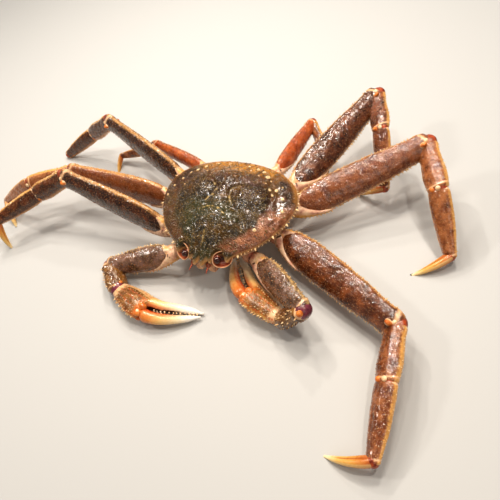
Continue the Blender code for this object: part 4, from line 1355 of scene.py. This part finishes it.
def makeSternum():
    levels, sides, rows = underside["levels"], underside["sides"], underside["rows"]
    lean = math.tan(math.radians(underside["faceLean"]))

    def place(angle, row):
        height, wide, long = between(levels, min(row / (sides - 1), 1.0))
        inward = 1 - max(row - sides + 1, 0) / (rows - sides)
        x = wide * inward * math.cos(angle)
        y = long * inward * math.sin(angle) + underside["shift"]
        y = max(y, underside["face"] - height * lean)
        groove = sum(hump(y - middle - slope * (abs(x) - 0.2), 0.0, 0.009)
                     for middle, slope in underside["sutures"])
        groove *= smoothStep(0.07, 0.13, abs(x)) * smoothStep(-0.06, -0.12, height)
        groove += hump(abs(x), 0.092, 0.008) * smoothStep(-0.14, -0.165, height) * (y > -0.2)
        groove = min(groove, 1.0)
        return bodyFrame @ inBody(x, y, height + 0.009 * groove - 0.002), (groove,)

    addPiece("sternum", tube(96, rows, place, ("groove",)), "pale", ("underbody",))


def makeAbdomen():
    stations = underside["abdomen"]
    top = underside["levels"][-1][0] - 0.004
    rows = underside["abdomenRows"]

    def place(angle, row):
        y = stations[0][0] + (stations[-1][0] - stations[0][0]) * row / (rows - 1)
        half = curves(stations, y)[0] * smoothStep(-0.165, -0.145, y) * smoothStep(0.2101, 0.196, y)
        joint = sum(hump(y, middle, 0.0035) for middle in underside["joints"])
        low = max(math.sin(angle), 0.0)
        depth = underside["thick"] * (1 - 0.35 * joint) * low ** 0.6
        depth *= smoothStep(-0.165, -0.14, y) * smoothStep(0.2101, 0.19, y)
        x = half * math.cos(angle) * (1 - 0.06 * joint)
        return bodyFrame @ inBody(x, y, top - depth), (joint * low,)

    addPiece("abdomenFlap", tube(48, rows, place, ("groove",)), "pale", ("abdomen",))


mouthPlate = {
    "middle": (0.046, -0.078),
    "half": (0.043, 0.066),
    "depth": 0.030,
    "gap": 0.003,
    "square": 0.62,
    "rows": 30,
}


# The outer mouth plate: two parts with a cross groove, and a narrow strip along its outer edge
def makeMouthPlate(name, side):
    lean = Matrix.Rotation(math.radians(-underside["faceLean"]), 4, "X")
    matrix = bodyFrame @ Matrix.Translation(inBody(0, underside["face"], 0)) @ lean
    halfX, halfZ = mouthPlate["half"]
    middleX, middleZ = mouthPlate["middle"]
    rows = mouthPlate["rows"]

    def place(angle, row):
        share = row / (rows - 1)
        reach = min(share / 0.15, 1.0) if share < 0.4 else 1.0 - ((share - 0.4) / 0.6) ** 1.4
        c, s = (math.copysign(abs(value) ** mouthPlate["square"], value)
                for value in (math.cos(angle), math.sin(angle)))
        z = halfZ * reach * s
        x = halfX * reach * c * (1 + 0.25 * z / halfZ)
        depth = 0.0 if share < 0.15 else mouthPlate["depth"] * smoothStep(0.10, 0.55, share)
        groove = max(hump(z, 0.012 - 0.25 * x, 0.005), 0.8 * hump(x, 0.024, 0.004))
        groove *= smoothStep(0.35, 0.5, share)
        depth -= 0.007 * groove
        return matrix @ at((middleX + x + mouthPlate["gap"]) * side, -depth - 0.002, middleZ + z), (groove,)

    addPiece("mouthPlate_" + name, tube(56, rows, place, ("groove",)), "mouth", ("maxilliped_" + name,))


for name, side in sideSigns.items():
    makeEye(name, side)
    makeOrbit(name, side)
    makeAntenna(name, side)
    makeMouthPlate(name, side)
makeSternum()
makeAbdomen()
print("head and underside made")


# Floor and light, in metres and watts: each lamp's place, power and size
studio = {
    "floorSize": 3.0,
    "floor": "#b6b4b0",
    "world": (1.0, 0.965, 0.92, 1),
    "worldStrength": 0.27,
    "lampColour": (1.0, 0.955, 0.90),
    "lamps": {
        "keyLight": ((-0.28, 0.38, 1.0), 3.6, 0.26),
        "fillLight": ((0.7, -0.7, 0.8), 2.0, 0.6),
        "topLight": ((0.20, 0.42, 0.9), 3.6, 0.13),
        "sideLight": ((-0.85, -0.12, 0.95), 3.8, 0.12),
        "overheadLight": ((-0.04, 0.07, 1.05), 1.6, 0.05),
        "gleamLight": ((0.44, 0.02, 0.94), 2.4, 0.045),
        "sparkleLight": ((-0.36, 0.56, 0.86), 3.0, 0.05),
        "glintLight": ((-0.12, 0.75, 0.75), 1.8, 0.05),
    },
}


def makeStudio():
    scene = bpy.context.scene
    floor = bmesh.new()
    bmesh.ops.create_grid(floor, x_segments=1, y_segments=1, size=studio["floorSize"])
    mesh = bpy.data.meshes.new("floor")
    floor.to_mesh(mesh)
    floor.free()
    skin = Skin("paleFloor", 0.6, 0.0)
    skin.shader.inputs["Base Color"].default_value = linear(studio["floor"])
    mesh.materials.append(skin.material)
    item = bpy.data.objects.new("floor", mesh)
    scene.collection.objects.link(item)
    world = bpy.data.worlds.new("studio")
    world.use_nodes = True
    background = world.node_tree.nodes["Background"]
    background.inputs["Color"].default_value = studio["world"]
    background.inputs["Strength"].default_value = studio["worldStrength"]
    scene.world = world
    for name, (place, power, size) in studio["lamps"].items():
        light = bpy.data.lights.new(name, "AREA")
        light.energy = power
        light.size = size
        light.color = studio["lampColour"]
        lamp = bpy.data.objects.new(name, light)
        lamp.location = place
        lamp.rotation_euler = (-Vector(place)).to_track_quat("-Z", "Y").to_euler()
        scene.collection.objects.link(lamp)
    scene.view_settings.view_transform = "Standard"
    scene.view_settings.look = "Medium High Contrast"


makeStudio()
print("studio made")
